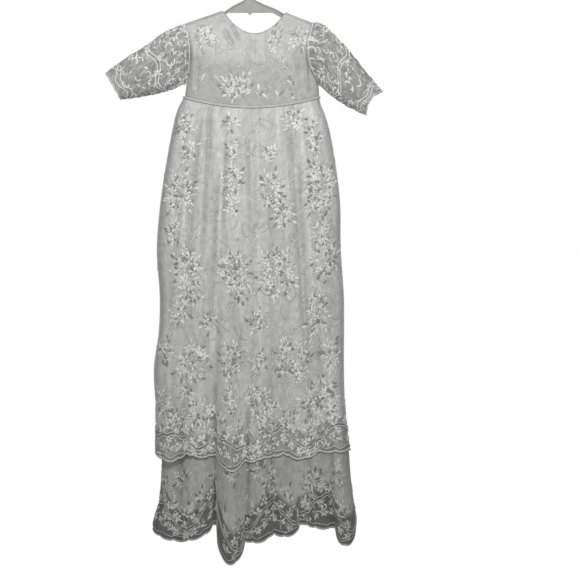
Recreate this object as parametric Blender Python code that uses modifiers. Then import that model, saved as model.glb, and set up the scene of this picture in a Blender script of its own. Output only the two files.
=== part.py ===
"""A christening gown on a plain moulded hanger, in metres, +Z up, with the front facing -Y.

The origin is the inside top of the hanger's hook, which is where a rail holds it. The gown has a satin
bodice in a front and two back panels, two short lace sleeves, a braid over the waist seam, and a skirt
of two lace tiers over a satin lining, gathered at the waist.
"""

import math
from collections import namedtuple

import bmesh
import bpy
import numpy as np

# ---------------------------------------------------------------- driving dimensions
CLOTH = 0.0012  # the wall of the bodice
LACE = 0.0010  # the wall of the skirt's layers and the sleeves
SEAM = 0.0006  # from the middle plane to the edge of a panel that meets another there
LAYER = 0.0026  # from one skirt layer's outer face to the next one's
LINING_INSET = 0.0066  # from the skirt's outer face to the lining's

# Bodice: the shoulder line runs from a tip to the neck, and the neckline is a parabola between the two.
TIP_LEFT = (-0.1210, -0.1076)
NECK_LEFT = (-0.0510, -0.0835)
NECK_RIGHT = (0.0675, -0.0860)
TIP_RIGHT = (0.1156, -0.1048)
NECK_DROP = 0.0422
UNDERARM = -0.2200
ROLL = 0.0090  # the cloth's radius where it turns over the hanger's arm
CHEST = 0.0244  # half the bodice's depth below the chest
CHEST_TOP, CHEST_BOTTOM = -0.0950, -0.1900  # where the depth grows from ROLL to CHEST
FULLNESS = 2.4  # the power of the flattened oval that the bodice and skirt are seen from above
BACK_SPLIT = 0.55  # how far across the bodice the two back panels meet

# Waist: the seam dips from its ends to the middle.
WAIST_SIDE = -0.2435
WAIST_DIP = 0.0195
WAIST_GAP = 0.0008  # from the bodice's lower edge to the skirt's upper one

# Back placket and its buttons.
PLACKET_LEFT, PLACKET_RIGHT, PLACKET_FOOT = -0.0010, 0.0270, -0.1930
PLACKET_LIFT = 0.0006  # from the back panels to the placket
BUTTONS = 3
BUTTON_RADIUS = 0.0045
BUTTON_FLATNESS = 0.42  # its thickness as a share of its width
BUTTON_CLEAR = 0.0005
BUTTON_SPACING = 0.0200
BUTTON_TOP = -0.1420

# Waist braid.
BRAID_HALF_HEIGHT = 0.0022
BRAID_CLEAR = 0.0010

# Skirt.
LINING_DROP = 0.7580
COLUMNS = 72
ROW_DROPS = (0.0, 0.025, 0.080, 0.200, 0.400, 0.560)  # shared by the layers, so that they lie parallel
FRONT_HEM_UPPER, BACK_HEM_UPPER = -0.8960, -0.8960
FRONT_HEM_LOWER, BACK_HEM_LOWER = -1.0340, -1.0300

Edge = namedtuple("Edge", "z left right")
SIDE_EDGES = (
    Edge(-0.2650, -0.1215, 0.1295),
    Edge(-0.2450, -0.1205, 0.1288),
    Edge(-0.2200, -0.1175, 0.1267),
    Edge(-0.1900, -0.1115, 0.1125),
    Edge(-0.1550, -0.1090, 0.1055),
    Edge(-0.1250, -0.1145, 0.1105),
    Edge(-0.1060, -0.1215, 0.1157),
)

Section = namedtuple("Section", "drop left right half_depth")
SKIRT_SECTIONS = (
    Section(0.000, -0.1220, 0.1292, 0.0250),
    Section(0.013, -0.1295, 0.1315, 0.0270),
    Section(0.028, -0.1360, 0.1380, 0.0290),
    Section(0.050, -0.1415, 0.1450, 0.0315),
    Section(0.117, -0.1545, 0.1580, 0.0355),
    Section(0.191, -0.1656, 0.1674, 0.0385),
    Section(0.283, -0.1730, 0.1690, 0.0410),
    Section(0.376, -0.1674, 0.1750, 0.0430),
    Section(0.431, -0.1690, 0.1752, 0.0440),
    Section(0.505, -0.1785, 0.1750, 0.0450),
    Section(0.580, -0.1750, 0.1775, 0.0460),
    Section(0.654, -0.1755, 0.1862, 0.0470),
    Section(0.710, -0.1770, 0.1905, 0.0480),
    Section(0.783, -0.1835, 0.2000, 0.0500),
)

# How much further in the lower tier and the lining lie at the left edge than their layer does.
Tuck = namedtuple("Tuck", "drop depth")
LEFT_TUCKS = (Tuck(0.0, 0.0), Tuck(0.56, 0.0), Tuck(0.68, 0.0100), Tuck(0.75, 0.0100), Tuck(0.79, 0.0010))

# The largest folds. at_waist and at_hem are X, and the depths are how far the fold stands out.
Fold = namedtuple("Fold", "at_waist at_hem half_width waist middle hem")
FRONT_FOLDS = (
    Fold(-0.1080, -0.1560, 0.0240, 0.0010, 0.0040, 0.0080),
    Fold(-0.0850, -0.1160, 0.0300, 0.0015, 0.0060, 0.0090),
    Fold(-0.0590, -0.0340, 0.0310, 0.0020, 0.0080, 0.0190),
    Fold(0.0080, 0.0160, 0.0290, 0.0010, 0.0030, 0.0080),
    Fold(0.0440, 0.0640, 0.0270, 0.0015, 0.0050, 0.0070),
    Fold(0.0880, 0.1280, 0.0300, 0.0020, 0.0080, 0.0050),
    Fold(0.1150, 0.1780, 0.0280, 0.0010, 0.0030, 0.0140),
)
BACK_FOLDS = (
    Fold(-0.0980, -0.1450, 0.0280, 0.0015, 0.0050, 0.0100),
    Fold(-0.0640, -0.0880, 0.0320, 0.0020, 0.0080, 0.0130),
    Fold(-0.0250, -0.0300, 0.0280, 0.0010, 0.0040, 0.0080),
    Fold(0.0150, 0.0240, 0.0300, 0.0020, 0.0070, 0.0140),
    Fold(0.0560, 0.0820, 0.0290, 0.0015, 0.0050, 0.0090),
    Fold(0.0930, 0.1360, 0.0310, 0.0020, 0.0060, 0.0120),
)

# The hems' large scallops: drop is how far a scallop's lowest point hangs below the line of cusps, and a
# small edge power makes its sides steep.
Scallop = namedtuple("Scallop", "centre width drop edge")
UPPER_HEM = (
    Scallop(-0.1470, 0.062, 0.0220, 0.50),
    Scallop(-0.0880, 0.066, 0.0140, 0.50),
    Scallop(-0.0340, 0.058, 0.0390, 0.50),
    Scallop(0.0030, 0.060, 0.0220, 0.50),
    Scallop(0.0340, 0.060, 0.0140, 0.50),
    Scallop(0.0920, 0.064, 0.0170, 0.50),
    Scallop(0.1500, 0.070, 0.0050, 0.50),
)
LOWER_HEM = (
    Scallop(-0.1290, 0.120, 0.0310, 0.45),
    Scallop(-0.0340, 0.054, 0.0720, 0.32),
    Scallop(0.0080, 0.084, 0.0330, 0.45),
    Scallop(0.0640, 0.058, 0.0220, 0.50),
    Scallop(0.1400, 0.064, 0.0080, 0.50),
    Scallop(0.1790, 0.040, 0.0400, 0.32),
)
BACK_SCALLOP_WIDTH, BACK_SCALLOP_DROP = 0.060, 0.0100

# Sleeves, from the armhole out: the top and bottom edge of each section and half its depth.
SleeveSection = namedtuple("SleeveSection", "top_x top_z bottom_x bottom_z half_depth")
LEFT_SLEEVE = (
    SleeveSection(-0.1400, -0.1150, -0.1290, -0.2215, 0.0140),
    SleeveSection(-0.1600, -0.1240, -0.1415, -0.2280, 0.0160),
    SleeveSection(-0.1900, -0.1465, -0.1640, -0.2350, 0.0170),
    SleeveSection(-0.2270, -0.1690, -0.1970, -0.2426, 0.0170),
    SleeveSection(-0.2690, -0.1995, -0.2410, -0.2485, 0.0160),
)
RIGHT_SLEEVE = (
    SleeveSection(0.1360, -0.1090, 0.1345, -0.2260, 0.0140),
    SleeveSection(0.1600, -0.1310, 0.1450, -0.2350, 0.0160),
    SleeveSection(0.1820, -0.1540, 0.1600, -0.2470, 0.0170),
    SleeveSection(0.2170, -0.1980, 0.1830, -0.2620, 0.0170),
    SleeveSection(0.2470, -0.2350, 0.2170, -0.2780, 0.0160),
)
SLEEVE_COLUMNS = 20
SLEEVE_GAP = 0.0012  # from the bodice's armhole edge to the sleeve
Cuff = namedtuple("Cuff", "lobes notch")
LEFT_CUFF = Cuff(5, 0.0018)
RIGHT_CUFF = Cuff(2, 0.0100)

# Hanger: one outline in X and Z, a thin web with a rim round it, and a round hook.
HANGER_OUTLINE = (
    (0.0035, -0.0500),
    (0.0060, -0.0560),
    (0.0120, -0.0650),
    (0.0270, -0.0720),
    (0.0470, -0.0800),
    (0.0640, -0.0895),
    (0.1095, -0.1068),
    (0.1120, -0.1115),
    (0.1080, -0.1160),
    (0.0600, -0.0970),
    (0.0420, -0.0870),
    (-0.0400, -0.0870),
    (-0.0540, -0.0960),
    (-0.1080, -0.1160),
    (-0.1120, -0.1115),
    (-0.1095, -0.1080),
    (-0.0510, -0.0880),
    (-0.0300, -0.0735),
    (-0.0120, -0.0650),
    (-0.0060, -0.0560),
    (-0.0035, -0.0500),
)
RIM_WIDTH = 0.0020
RIM_HALF_DEPTH = 0.0035
WEB_INSET = 0.0010
WEB_HALF_DEPTH = 0.0015
NUB_RADIUS = 0.0040
NUB_Z = -0.0865  # the round boss in the middle of the lower bar
ROD_RADIUS = 0.0030
HOOK_INNER_RADIUS = 0.0200
HOOK_BEND_RADIUS = 0.0120
HOOK_FOOT = -0.0580
HOOK_END_ANGLE = 205.0

# Colours, as linear base colour, roughness and metallic.
SATIN = ((0.50, 0.50, 0.485), 0.35, 0.0)
NET = ((0.36, 0.36, 0.35), 0.65, 0.0)
NET_DARK = ((0.28, 0.28, 0.275), 0.65, 0.0)
TRIM = ((0.58, 0.58, 0.56), 0.40, 0.0)
PEARL = ((0.70, 0.69, 0.66), 0.20, 0.0)
PLASTIC = ((0.42, 0.43, 0.425), 0.40, 0.0)


# ---------------------------------------------------------------- curves and helpers
def curve_through(at, places, values):
    """The value at a place, on a smooth curve through the values, which stays level past its ends."""
    order = np.argsort(places)
    x, y = np.asarray(places, float)[order], np.asarray(values, float)[order]
    slope = np.gradient(y, x)
    at = min(max(at, x[0]), x[-1])
    i = min(int(np.searchsorted(x, at, side="right")) - 1, len(x) - 2)
    step = x[i + 1] - x[i]
    t = (at - x[i]) / step
    start = (1 + 2 * t) * (1 - t) ** 2 * y[i] + t * (1 - t) ** 2 * step * slope[i]
    end = t * t * (3 - 2 * t) * y[i + 1] + t * t * (t - 1) * step * slope[i + 1]
    return start + end


def ease(value, low, high):
    """0 below low, 1 above high, and a smooth step between."""
    t = min(max((value - low) / (high - low), 0.0), 1.0)
    return t * t * (3 - 2 * t)


def oval(across):
    """How deep a flattened oval is, from 1 in the middle to 0 at its ends, across = -1 and 1."""
    return max(1 - abs(across) ** FULLNESS, 0.0) ** (1 / FULLNESS)


def material(name, look):
    colour, roughness, metallic = look
    made = bpy.data.materials.new(name)
    made.use_nodes = True
    shader = made.node_tree.nodes["Principled BSDF"]
    shader.inputs["Base Color"].default_value = (*colour, 1.0)
    shader.inputs["Roughness"].default_value = roughness
    shader.inputs["Metallic"].default_value = metallic
    made.diffuse_color = (*colour, 1.0)
    return made


def collection(name):
    made = bpy.data.collections.new(name)
    bpy.context.scene.collection.children.link(made)
    return made


def new_object(name, mesh, look, into):
    made = bpy.data.objects.new(name, mesh)
    if look is not None:
        mesh.materials.append(material(name, look))
    into.objects.link(made)
    return made


def grid_mesh(name, rows, closed):
    """A surface through rows of points. Closed joins each row's last point to its first one."""
    count = len(rows[0])
    points = [point for row in rows for point in row]
    across = count if closed else count - 1
    faces = []
    for r in range(len(rows) - 1):
        for c in range(across):
            d = (c + 1) % count
            faces.append((r * count + c, r * count + d, (r + 1) * count + d, (r + 1) * count + c))
    mesh = bpy.data.meshes.new(name)
    mesh.from_pydata(points, [], faces)
    mesh.validate()
    return mesh


def face_out(mesh, outward):
    """Turns every face over if most of them look against outward(centre)."""
    score = sum(face.normal.dot(outward(face.center)) * face.area for face in mesh.polygons)
    if score < 0:
        mesh.flip_normals()


def shell(name, rows, closed, thickness, look, outward, into, side=-1):
    """A cloth wall: an open surface with Solidify. side -1 grows it inward, and 1 outward."""
    mesh = grid_mesh(name, rows, closed)
    face_out(mesh, outward)
    mesh.shade_smooth()
    made = new_object(name, mesh, look, into)
    solid = made.modifiers.new("wall", "SOLIDIFY")
    solid.thickness = thickness
    solid.offset = side
    solid.use_even_offset = False
    return made


# ---------------------------------------------------------------- bodice
def side_edge(z, which):
    return curve_through(z, [e.z for e in SIDE_EDGES], [getattr(e, which) for e in SIDE_EDGES])


def waist_z(across):
    """The height of the waist seam, across = -1 at the left side and 1 at the right one."""
    return WAIST_SIDE - WAIST_DIP * (1 - min(across * across, 1.0))


NECK_START = (NECK_LEFT[0] - TIP_LEFT[0]) / (TIP_RIGHT[0] - TIP_LEFT[0])
NECK_END = (NECK_RIGHT[0] - TIP_LEFT[0]) / (TIP_RIGHT[0] - TIP_LEFT[0])


def shoulder_z(c):
    """The shoulder line's height at the share c of the way across, straight over the neck."""
    shares = (0.0, NECK_START, NECK_END, 1.0)
    return float(np.interp(c, shares, (TIP_LEFT[1], NECK_LEFT[1], NECK_RIGHT[1], TIP_RIGHT[1])))


def top_z(c):
    """The panel's upper edge: the shoulder line, or the neckline between the neck points."""
    if c <= NECK_START or c >= NECK_END:
        return shoulder_z(c)
    w = (2 * c - NECK_START - NECK_END) / (NECK_END - NECK_START)
    return shoulder_z(c) - NECK_DROP * (1 - w * w)


def bodice_depth(across, z, below_shoulder):
    """How far the cloth stands from the middle plane."""
    turned = min(max(below_shoulder / ROLL, 0.0), 1.0)
    turn = math.sqrt(1 - (1 - turned) ** 2)
    full = ROLL + (CHEST - ROLL) * (1 - ease(z, CHEST_BOTTOM, CHEST_TOP))
    closing = 1 - ease(z, UNDERARM, TIP_LEFT[1])
    return turn * full * (1 - closing + closing * oval(across))


def bodice_point(c, t, side):
    """A point of a panel: c across, t from the waist (0) to the top (1), side -1 in front."""
    across = 2 * c - 1
    bottom = waist_z(across)
    z = bottom + t * (top_z(c) - bottom)
    left_z = WAIST_SIDE + t * (TIP_LEFT[1] - WAIST_SIDE)
    right_z = WAIST_SIDE + t * (TIP_RIGHT[1] - WAIST_SIDE)
    left, right = side_edge(left_z, "left"), side_edge(right_z, "right")
    edge_z = left_z + c * (right_z - left_z)
    height = edge_z if abs(across) > 0.999 else z
    depth = bodice_depth(across, height, shoulder_z(c) - z)
    return (left + c * (right - left), side * (SEAM + depth), z)


SHOULDER_STATIONS = (0.0, 0.06, 0.28, 0.62)  # columns along each shoulder, as shares of it
NECK_COLUMNS = 10
PANEL_ROWS = (0.0, 0.12, 0.25, 0.38, 0.51, 0.64, 0.77, 0.88, 0.945, 0.982, 1.0)


def panel_columns():
    shoulder = np.array(SHOULDER_STATIONS)
    left = NECK_START * shoulder
    neck = NECK_START + (NECK_END - NECK_START) * (0.5 - 0.5 * np.cos(np.linspace(0, math.pi, NECK_COLUMNS)))
    right = 1 - (1 - NECK_END) * shoulder[::-1]
    return [*left, *neck, *right]


def bodice_panel(name, columns, side, into):
    rows = [[bodice_point(c, t, side) for c in columns] for t in PANEL_ROWS]
    return shell(name, rows, False, CLOTH, SATIN, lambda p: (0, side, 0), into)


def back_height(x, z):
    """Where the back's outer face is, at a place near its middle."""
    left, right = side_edge(z, "left"), side_edge(z, "right")
    c = (x - left) / (right - left)
    return SEAM + bodice_depth(2 * c - 1, z, shoulder_z(c) - z)


def back_placket(into):
    xs = np.linspace(PLACKET_LEFT, PLACKET_RIGHT, 5)
    rows = []
    for t in (0.0, 0.25, 0.5, 0.75, 1.0):
        row = []
        for x in xs:
            c = (x - TIP_LEFT[0]) / (TIP_RIGHT[0] - TIP_LEFT[0])
            z = PLACKET_FOOT + t * (top_z(c) - PLACKET_FOOT)
            row.append((x, back_height(x, z) + PLACKET_LIFT, z))
        rows.append(row)
    return shell("back_placket", rows, False, CLOTH, SATIN, lambda p: (0, 1, 0), into, side=1)


def back_buttons(into):
    x = (PLACKET_LEFT + PLACKET_RIGHT) / 2
    for i in range(BUTTONS):
        z = BUTTON_TOP - i * BUTTON_SPACING
        bpy.ops.mesh.primitive_uv_sphere_add(segments=14, ring_count=7, radius=BUTTON_RADIUS)
        made = bpy.context.object
        made.name = f"back_button_{i + 1}"
        made.data.name = made.name
        for point in made.data.vertices:
            point.co.z *= BUTTON_FLATNESS
        made.rotation_euler = (math.pi / 2, 0, 0)
        face = back_height(x, z) + PLACKET_LIFT + CLOTH
        out = face + BUTTON_CLEAR + BUTTON_RADIUS * BUTTON_FLATNESS
        made.location = (x, out, z)
        made.data.shade_smooth()
        made.data.materials.append(material(made.name, PEARL))
        for home in list(made.users_collection):
            home.objects.unlink(made)
        into.objects.link(made)


# ---------------------------------------------------------------- skirt
def oval_columns(count):
    """Places round the skirt, evenly spaced on its middle section, as (across, side)."""
    angle = np.linspace(0, math.pi, 721)
    across = -np.cos(angle)
    half_width, half_depth = 0.172, 0.043
    depth = np.array([oval(a) for a in across]) * half_depth
    length = np.hypot(np.diff(across * half_width), np.diff(depth))
    along = np.concatenate([[0], np.cumsum(length)])
    half = count // 2
    front = np.interp(np.linspace(0, along[-1], half + 1), along, across)
    front[0], front[-1] = -1.0, 1.0
    return [(a, -1) for a in front] + [(a, 1) for a in front[-2:0:-1]]


def section(drop, field):
    return curve_through(drop, [s.drop for s in SKIRT_SECTIONS], [getattr(s, field) for s in SKIRT_SECTIONS])


def fold_out(x, drop, side):
    """How far the folds push the cloth out at X, at a drop below the waist."""
    share = min(drop / SKIRT_SECTIONS[-1].drop, 1.0)
    out = 0.0
    for fold in FRONT_FOLDS if side < 0 else BACK_FOLDS:
        middle = fold.at_waist + share * (fold.at_hem - fold.at_waist)
        width = fold.half_width * (0.6 + 0.4 * share)
        depth = float(np.interp(share, (0, 0.5, 1), (fold.waist, fold.middle, fold.hem)))
        away = min(abs(x - middle) / width, 1.0)
        out += depth * (0.5 + 0.5 * math.cos(math.pi * away))
    return out


def skirt_point(across, side, z, inset, tucked=False):
    """A point of a skirt layer, inset from the outer face, at a height."""
    drop = max(waist_z(across) - z, 0.0)
    left, right = section(drop, "left"), section(drop, "right")
    half_depth = section(drop, "half_depth")
    middle, half_width = (left + right) / 2, (right - left) / 2
    x = middle + across * half_width
    fullness = oval(across)
    normal = np.array(
        (
            math.copysign(abs(across) ** (FULLNESS - 1), across) / half_width,
            side * fullness ** (FULLNESS - 1) / half_depth,
        )
    )
    normal /= np.linalg.norm(normal)
    if tucked:
        tuck = float(np.interp(drop, [t.drop for t in LEFT_TUCKS], [t.depth for t in LEFT_TUCKS]))
        inset = inset + tuck * ease(-across, 0.3, 1.0)
    y = side * (half_depth * fullness + fold_out(x, drop, side) * math.sqrt(fullness))
    return (x - inset * normal[0], y - inset * normal[1], z)


def scalloped(x, scallops, cusps):
    """The hem's height at X: a rounded drop in each scallop, below the line of cusps."""
    drop = 0.0
    for s in scallops:
        away = abs(x - s.centre) / (s.width / 2)
        if away < 1:
            drop = max(drop, s.drop * math.cos(away * math.pi / 2) ** s.edge)
    return cusps - drop


def hem_z(across, side, scallops, front_cusps, back_cusps):
    x = skirt_point(across, side, front_cusps, 0.0)[0]
    if side < 0:
        return scalloped(x, scallops, front_cusps)
    wave = abs(math.sin(math.pi * x / BACK_SCALLOP_WIDTH))
    return back_cusps - BACK_SCALLOP_DROP * wave


def skirt_layer(name, hem, extra_drops, inset, look, tucked, into):
    columns = oval_columns(COLUMNS)
    rows = []
    for drop in (*ROW_DROPS, *extra_drops):
        rows.append(
            [skirt_point(a, s, waist_z(a) - WAIST_GAP - drop, inset, tucked) for a, s in columns]
        )
    rows.append([skirt_point(a, s, hem(a, s), inset, tucked) for a, s in columns])
    return shell(name, rows, True, LACE, look, lambda p: (p.x, p.y * 4, 0), into)


def skirt(into):
    def upper(a, s):
        return hem_z(a, s, UPPER_HEM, FRONT_HEM_UPPER, BACK_HEM_UPPER)

    def lower(a, s):
        return hem_z(a, s, LOWER_HEM, FRONT_HEM_LOWER, BACK_HEM_LOWER)

    def plain(a, s):
        return WAIST_SIDE - LINING_DROP

    skirt_layer("skirt_upper_tier", upper, (), 0.0, NET, False, into)
    skirt_layer("skirt_lower_tier", lower, (0.70,), LAYER, NET_DARK, True, into)
    skirt_layer("skirt_lining", plain, (0.70,), LINING_INSET, SATIN, True, into)


def waist_braid(into):
    rows = []
    for lift in (-BRAID_HALF_HEIGHT, BRAID_HALF_HEIGHT):
        row = []
        for a, s in oval_columns(COLUMNS):
            z = waist_z(a) - WAIST_GAP / 2 + lift
            row.append(skirt_point(a, s, z, -BRAID_CLEAR))
        rows.append(row)
    return shell("waist_braid", rows, True, CLOTH, TRIM, lambda p: (p.x, p.y * 4, 0), into, side=1)


# ---------------------------------------------------------------- sleeves
def armhole_ring(which, tip, outboard):
    """The sleeve's inner ring, which follows the bodice's armhole edge."""
    middle, half = (tip[1] + UNDERARM) / 2, (tip[1] - UNDERARM) / 2
    ring = []
    for i in range(SLEEVE_COLUMNS):
        angle = 2 * math.pi * i / SLEEVE_COLUMNS
        z = middle + half * math.cos(angle)
        depth = bodice_depth(1.0, z, tip[1] - z)
        y = -math.copysign(depth, math.sin(angle)) if i % (SLEEVE_COLUMNS // 2) else 0.0
        ring.append((side_edge(z, which) + outboard * SLEEVE_GAP, y, z))
    return ring


def sleeve_ring(s, along, cuff=None):
    """A ring through the section's top and bottom edge. A cuff is notched between its lobes."""
    top, bottom = np.array((s.top_x, s.top_z)), np.array((s.bottom_x, s.bottom_z))
    middle, reach = (top + bottom) / 2, (top - bottom) / 2
    ring = []
    for i in range(SLEEVE_COLUMNS):
        angle = 2 * math.pi * i / SLEEVE_COLUMNS
        notch = cuff.notch * (0.5 - 0.5 * math.cos(cuff.lobes * angle)) if cuff else 0.0
        x, z = middle + reach * math.cos(angle) - along * notch
        ring.append((x, -s.half_depth * math.sin(angle), z))
    return ring


def sleeve(name, sections, which, tip, cuff, into):
    outboard = -1 if which == "left" else 1
    first, last = sections[-2], sections[-1]
    along = np.array((last.top_x - first.top_x, last.top_z - first.top_z))
    along /= np.linalg.norm(along)
    rows = [armhole_ring(which, tip, outboard)]
    rows += [sleeve_ring(s, along) for s in sections[:-1]]
    rows.append(sleeve_ring(last, along, cuff))
    centre_z = (tip[1] + UNDERARM) / 2

    def outward(p):
        return (0, p.y * 4, p.z - centre_z + 0.6 * (abs(p.x) - abs(tip[0])))

    return shell(name, rows, True, LACE, NET_DARK, outward, into)


# ---------------------------------------------------------------- hanger
def inset_outline(points, distance):
    """A closed outline moved in by a distance, corner by corner."""
    points = [np.array(p) for p in points]
    area = sum(p[0] * q[1] - q[0] * p[1] for p, q in zip(points, points[1:] + points[:1]))
    turn = 1 if area > 0 else -1
    moved = []
    for before, here, after in zip(points[-1:] + points[:-1], points, points[1:] + points[:1]):
        a = (here - before) / np.linalg.norm(here - before)
        b = (after - here) / np.linalg.norm(after - here)
        normal_a, normal_b = turn * np.array((-a[1], a[0])), turn * np.array((-b[1], b[0]))
        both = normal_a + normal_b
        moved.append(tuple(here + distance * both / (1 + normal_a.dot(normal_b))))
    return moved


def flat_piece(name, outlines, half_depth, into):
    """A mesh from flat outlines in X and Z, which reaches half_depth to either side."""
    curve = bpy.data.curves.new(name, "CURVE")
    curve.dimensions = "2D"
    curve.fill_mode = "BOTH"
    curve.extrude = half_depth
    for outline in outlines:
        spline = curve.splines.new("POLY")
        spline.points.add(len(outline) - 1)
        for point, (x, z) in zip(spline.points, outline):
            point.co = (x, z, 0, 1)
        spline.use_cyclic_u = True
    return mesh_from_curve(name, curve, (math.pi / 2, 0, 0), into)


def mesh_from_curve(name, curve, rotation, into):
    guide = bpy.data.objects.new(name + "_curve", curve)
    guide.rotation_euler = rotation
    bpy.context.scene.collection.objects.link(guide)
    bpy.context.view_layer.update()
    evaluated = guide.evaluated_get(bpy.context.evaluated_depsgraph_get())
    mesh = bpy.data.meshes.new_from_object(evaluated)
    work = bmesh.new()
    work.from_mesh(mesh)
    bmesh.ops.remove_doubles(work, verts=work.verts, dist=0.00001)
    work.to_mesh(mesh)
    work.free()
    made = new_object(name, mesh, None, into)
    made.matrix_world = guide.matrix_world.copy()
    bpy.data.objects.remove(guide)
    return made


def hook_path():
    """Up the shank, round a small bend, and round the hook to its open end."""
    centre_z = -HOOK_INNER_RADIUS
    radius = HOOK_INNER_RADIUS + ROD_RADIUS
    rise = math.sqrt((radius + HOOK_BEND_RADIUS) ** 2 - HOOK_BEND_RADIUS**2)
    bend_z = centre_z - rise
    turn = math.degrees(math.atan2(rise, -HOOK_BEND_RADIUS))
    path = [(0.0, HOOK_FOOT)]
    for angle in np.linspace(180, turn, 6):
        a = math.radians(angle)
        path.append((HOOK_BEND_RADIUS * (1 + math.cos(a)), bend_z + HOOK_BEND_RADIUS * math.sin(a)))
    for angle in np.linspace(turn - 180, HOOK_END_ANGLE, 22)[1:]:
        a = math.radians(angle)
        path.append((radius * math.cos(a), centre_z + radius * math.sin(a)))
    return path


def hook(into):
    curve = bpy.data.curves.new("hook", "CURVE")
    curve.dimensions = "3D"
    curve.bevel_depth = ROD_RADIUS
    curve.bevel_resolution = 2
    curve.use_fill_caps = True
    path = hook_path()
    spline = curve.splines.new("POLY")
    spline.points.add(len(path) - 1)
    for point, (x, z) in zip(spline.points, path):
        point.co = (x, z, 0, 1)
    return mesh_from_curve("hook", curve, (math.pi / 2, 0, 0), into)


def hanger(into, cutters):
    outline = HANGER_OUTLINE
    body = flat_piece("hanger", [outline, inset_outline(outline, RIM_WIDTH)], RIM_HALF_DEPTH, into)
    web = flat_piece("web", [inset_outline(outline, WEB_INSET)], WEB_HALF_DEPTH, cutters)
    bpy.ops.mesh.primitive_cylinder_add(vertices=20, radius=NUB_RADIUS, depth=2 * RIM_HALF_DEPTH)
    nub = bpy.context.object
    nub.name = "nub"
    nub.rotation_euler = (math.pi / 2, 0, 0)
    nub.location = (0, 0, NUB_Z)
    for home in list(nub.users_collection):
        home.objects.unlink(nub)
    cutters.objects.link(nub)
    for other in (web, nub, hook(cutters)):
        other.hide_render = True
        other.display_type = "WIRE"
        union = body.modifiers.new("join_" + other.name, "BOOLEAN")
        union.operation = "UNION"
        union.solver = "EXACT"
        union.object = other
    body.data.materials.append(material("hanger", PLASTIC))
    return body


# ---------------------------------------------------------------- build
def main():
    for old in list(bpy.data.objects):
        bpy.data.objects.remove(old)
    gown = collection("christening_gown_on_hanger")
    cutters = collection("joined_shapes")
    hanger(gown, cutters)
    columns = panel_columns()
    bodice_panel("bodice_front", columns, -1, gown)
    gap = SEAM / (TIP_RIGHT[0] - TIP_LEFT[0])
    left = [c for c in columns if c < BACK_SPLIT - 0.01] + [BACK_SPLIT - gap]
    right = [BACK_SPLIT + gap] + [c for c in columns if c > BACK_SPLIT + 0.01]
    bodice_panel("bodice_back_left", left, 1, gown)
    bodice_panel("bodice_back_right", right, 1, gown)
    back_placket(gown)
    back_buttons(gown)
    waist_braid(gown)
    skirt(gown)
    sleeve("sleeve_left", LEFT_SLEEVE, "left", TIP_LEFT, LEFT_CUFF, gown)
    sleeve("sleeve_right", RIGHT_SLEEVE, "right", TIP_RIGHT, RIGHT_CUFF, gown)


main()
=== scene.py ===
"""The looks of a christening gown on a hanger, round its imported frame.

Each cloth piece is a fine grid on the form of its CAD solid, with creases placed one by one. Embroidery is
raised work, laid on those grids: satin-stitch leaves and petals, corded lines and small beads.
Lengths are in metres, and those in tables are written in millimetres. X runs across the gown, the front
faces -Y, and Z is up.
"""
import math
from collections import namedtuple

import bpy
import numpy as np
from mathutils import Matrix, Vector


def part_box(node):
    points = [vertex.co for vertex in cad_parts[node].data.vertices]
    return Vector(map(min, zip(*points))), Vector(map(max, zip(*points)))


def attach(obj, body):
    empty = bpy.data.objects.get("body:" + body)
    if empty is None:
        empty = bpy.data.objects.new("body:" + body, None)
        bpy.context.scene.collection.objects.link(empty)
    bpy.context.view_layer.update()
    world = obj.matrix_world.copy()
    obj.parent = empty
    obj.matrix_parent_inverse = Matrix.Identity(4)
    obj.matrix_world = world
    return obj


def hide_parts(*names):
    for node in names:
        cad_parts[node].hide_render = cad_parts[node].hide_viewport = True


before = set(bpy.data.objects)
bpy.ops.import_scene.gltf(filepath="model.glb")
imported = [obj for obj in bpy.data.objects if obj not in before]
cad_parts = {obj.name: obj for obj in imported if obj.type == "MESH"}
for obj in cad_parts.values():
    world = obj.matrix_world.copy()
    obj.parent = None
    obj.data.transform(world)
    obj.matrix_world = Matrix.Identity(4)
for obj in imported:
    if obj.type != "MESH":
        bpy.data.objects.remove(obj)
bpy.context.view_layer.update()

LINING_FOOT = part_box("skirt_lining")[0][2]
BUTTONS = sorted(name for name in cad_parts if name.startswith("back_button"))
PLAIN = ("edge", "dense", "turn", "bend", "pairs")  # the columns of tables that aren't lengths
AROUND = 2 * math.pi


def in_metres(kind, rows):
    """A table's rows as named tuples, with its lengths in metres."""
    return [kind(*(v if field in PLAIN else v / 1000 for field, v in zip(kind._fields, row))) for row in rows]


# ---- the gown's form, as in its solids
WALL = 0.0005  # the thickness of the fine cloth
SEAM = 0.0004  # half the gap between the front and back panels
LAYER = 0.0026  # how far the lower tier lies inside the upper one
LINING_INSET = 0.0066
FULLNESS = 2.4  # how square the ovals are: 2 is an ellipse

# The bodice from the front, as (X, Z): the outer tips of its shoulders and the ends of its neck.
TIP_LEFT = (-0.1210, -0.1076)
NECK_LEFT = (-0.0510, -0.0835)
NECK_RIGHT = (0.0675, -0.0860)
TIP_RIGHT = (0.1156, -0.1048)
NECK_DROP = 0.0422  # how far the neck scoops below its ends
UNDERARM = -0.2200
ROLL = 0.0090  # half the depth at the shoulders' rounded edge
CHEST = 0.0244  # half the depth of the chest
CHEST_TOP, CHEST_BOTTOM = -0.0950, -0.1900  # where the one grows into the other
BACK_SPLIT = 0.55  # where the back panels meet, as a share of the width

WAIST_SIDE = -0.2435  # the waist seam's height at the sides
WAIST_DIP = 0.0195  # how much lower it is in the middle
WAIST_GAP = 0.0008

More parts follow.
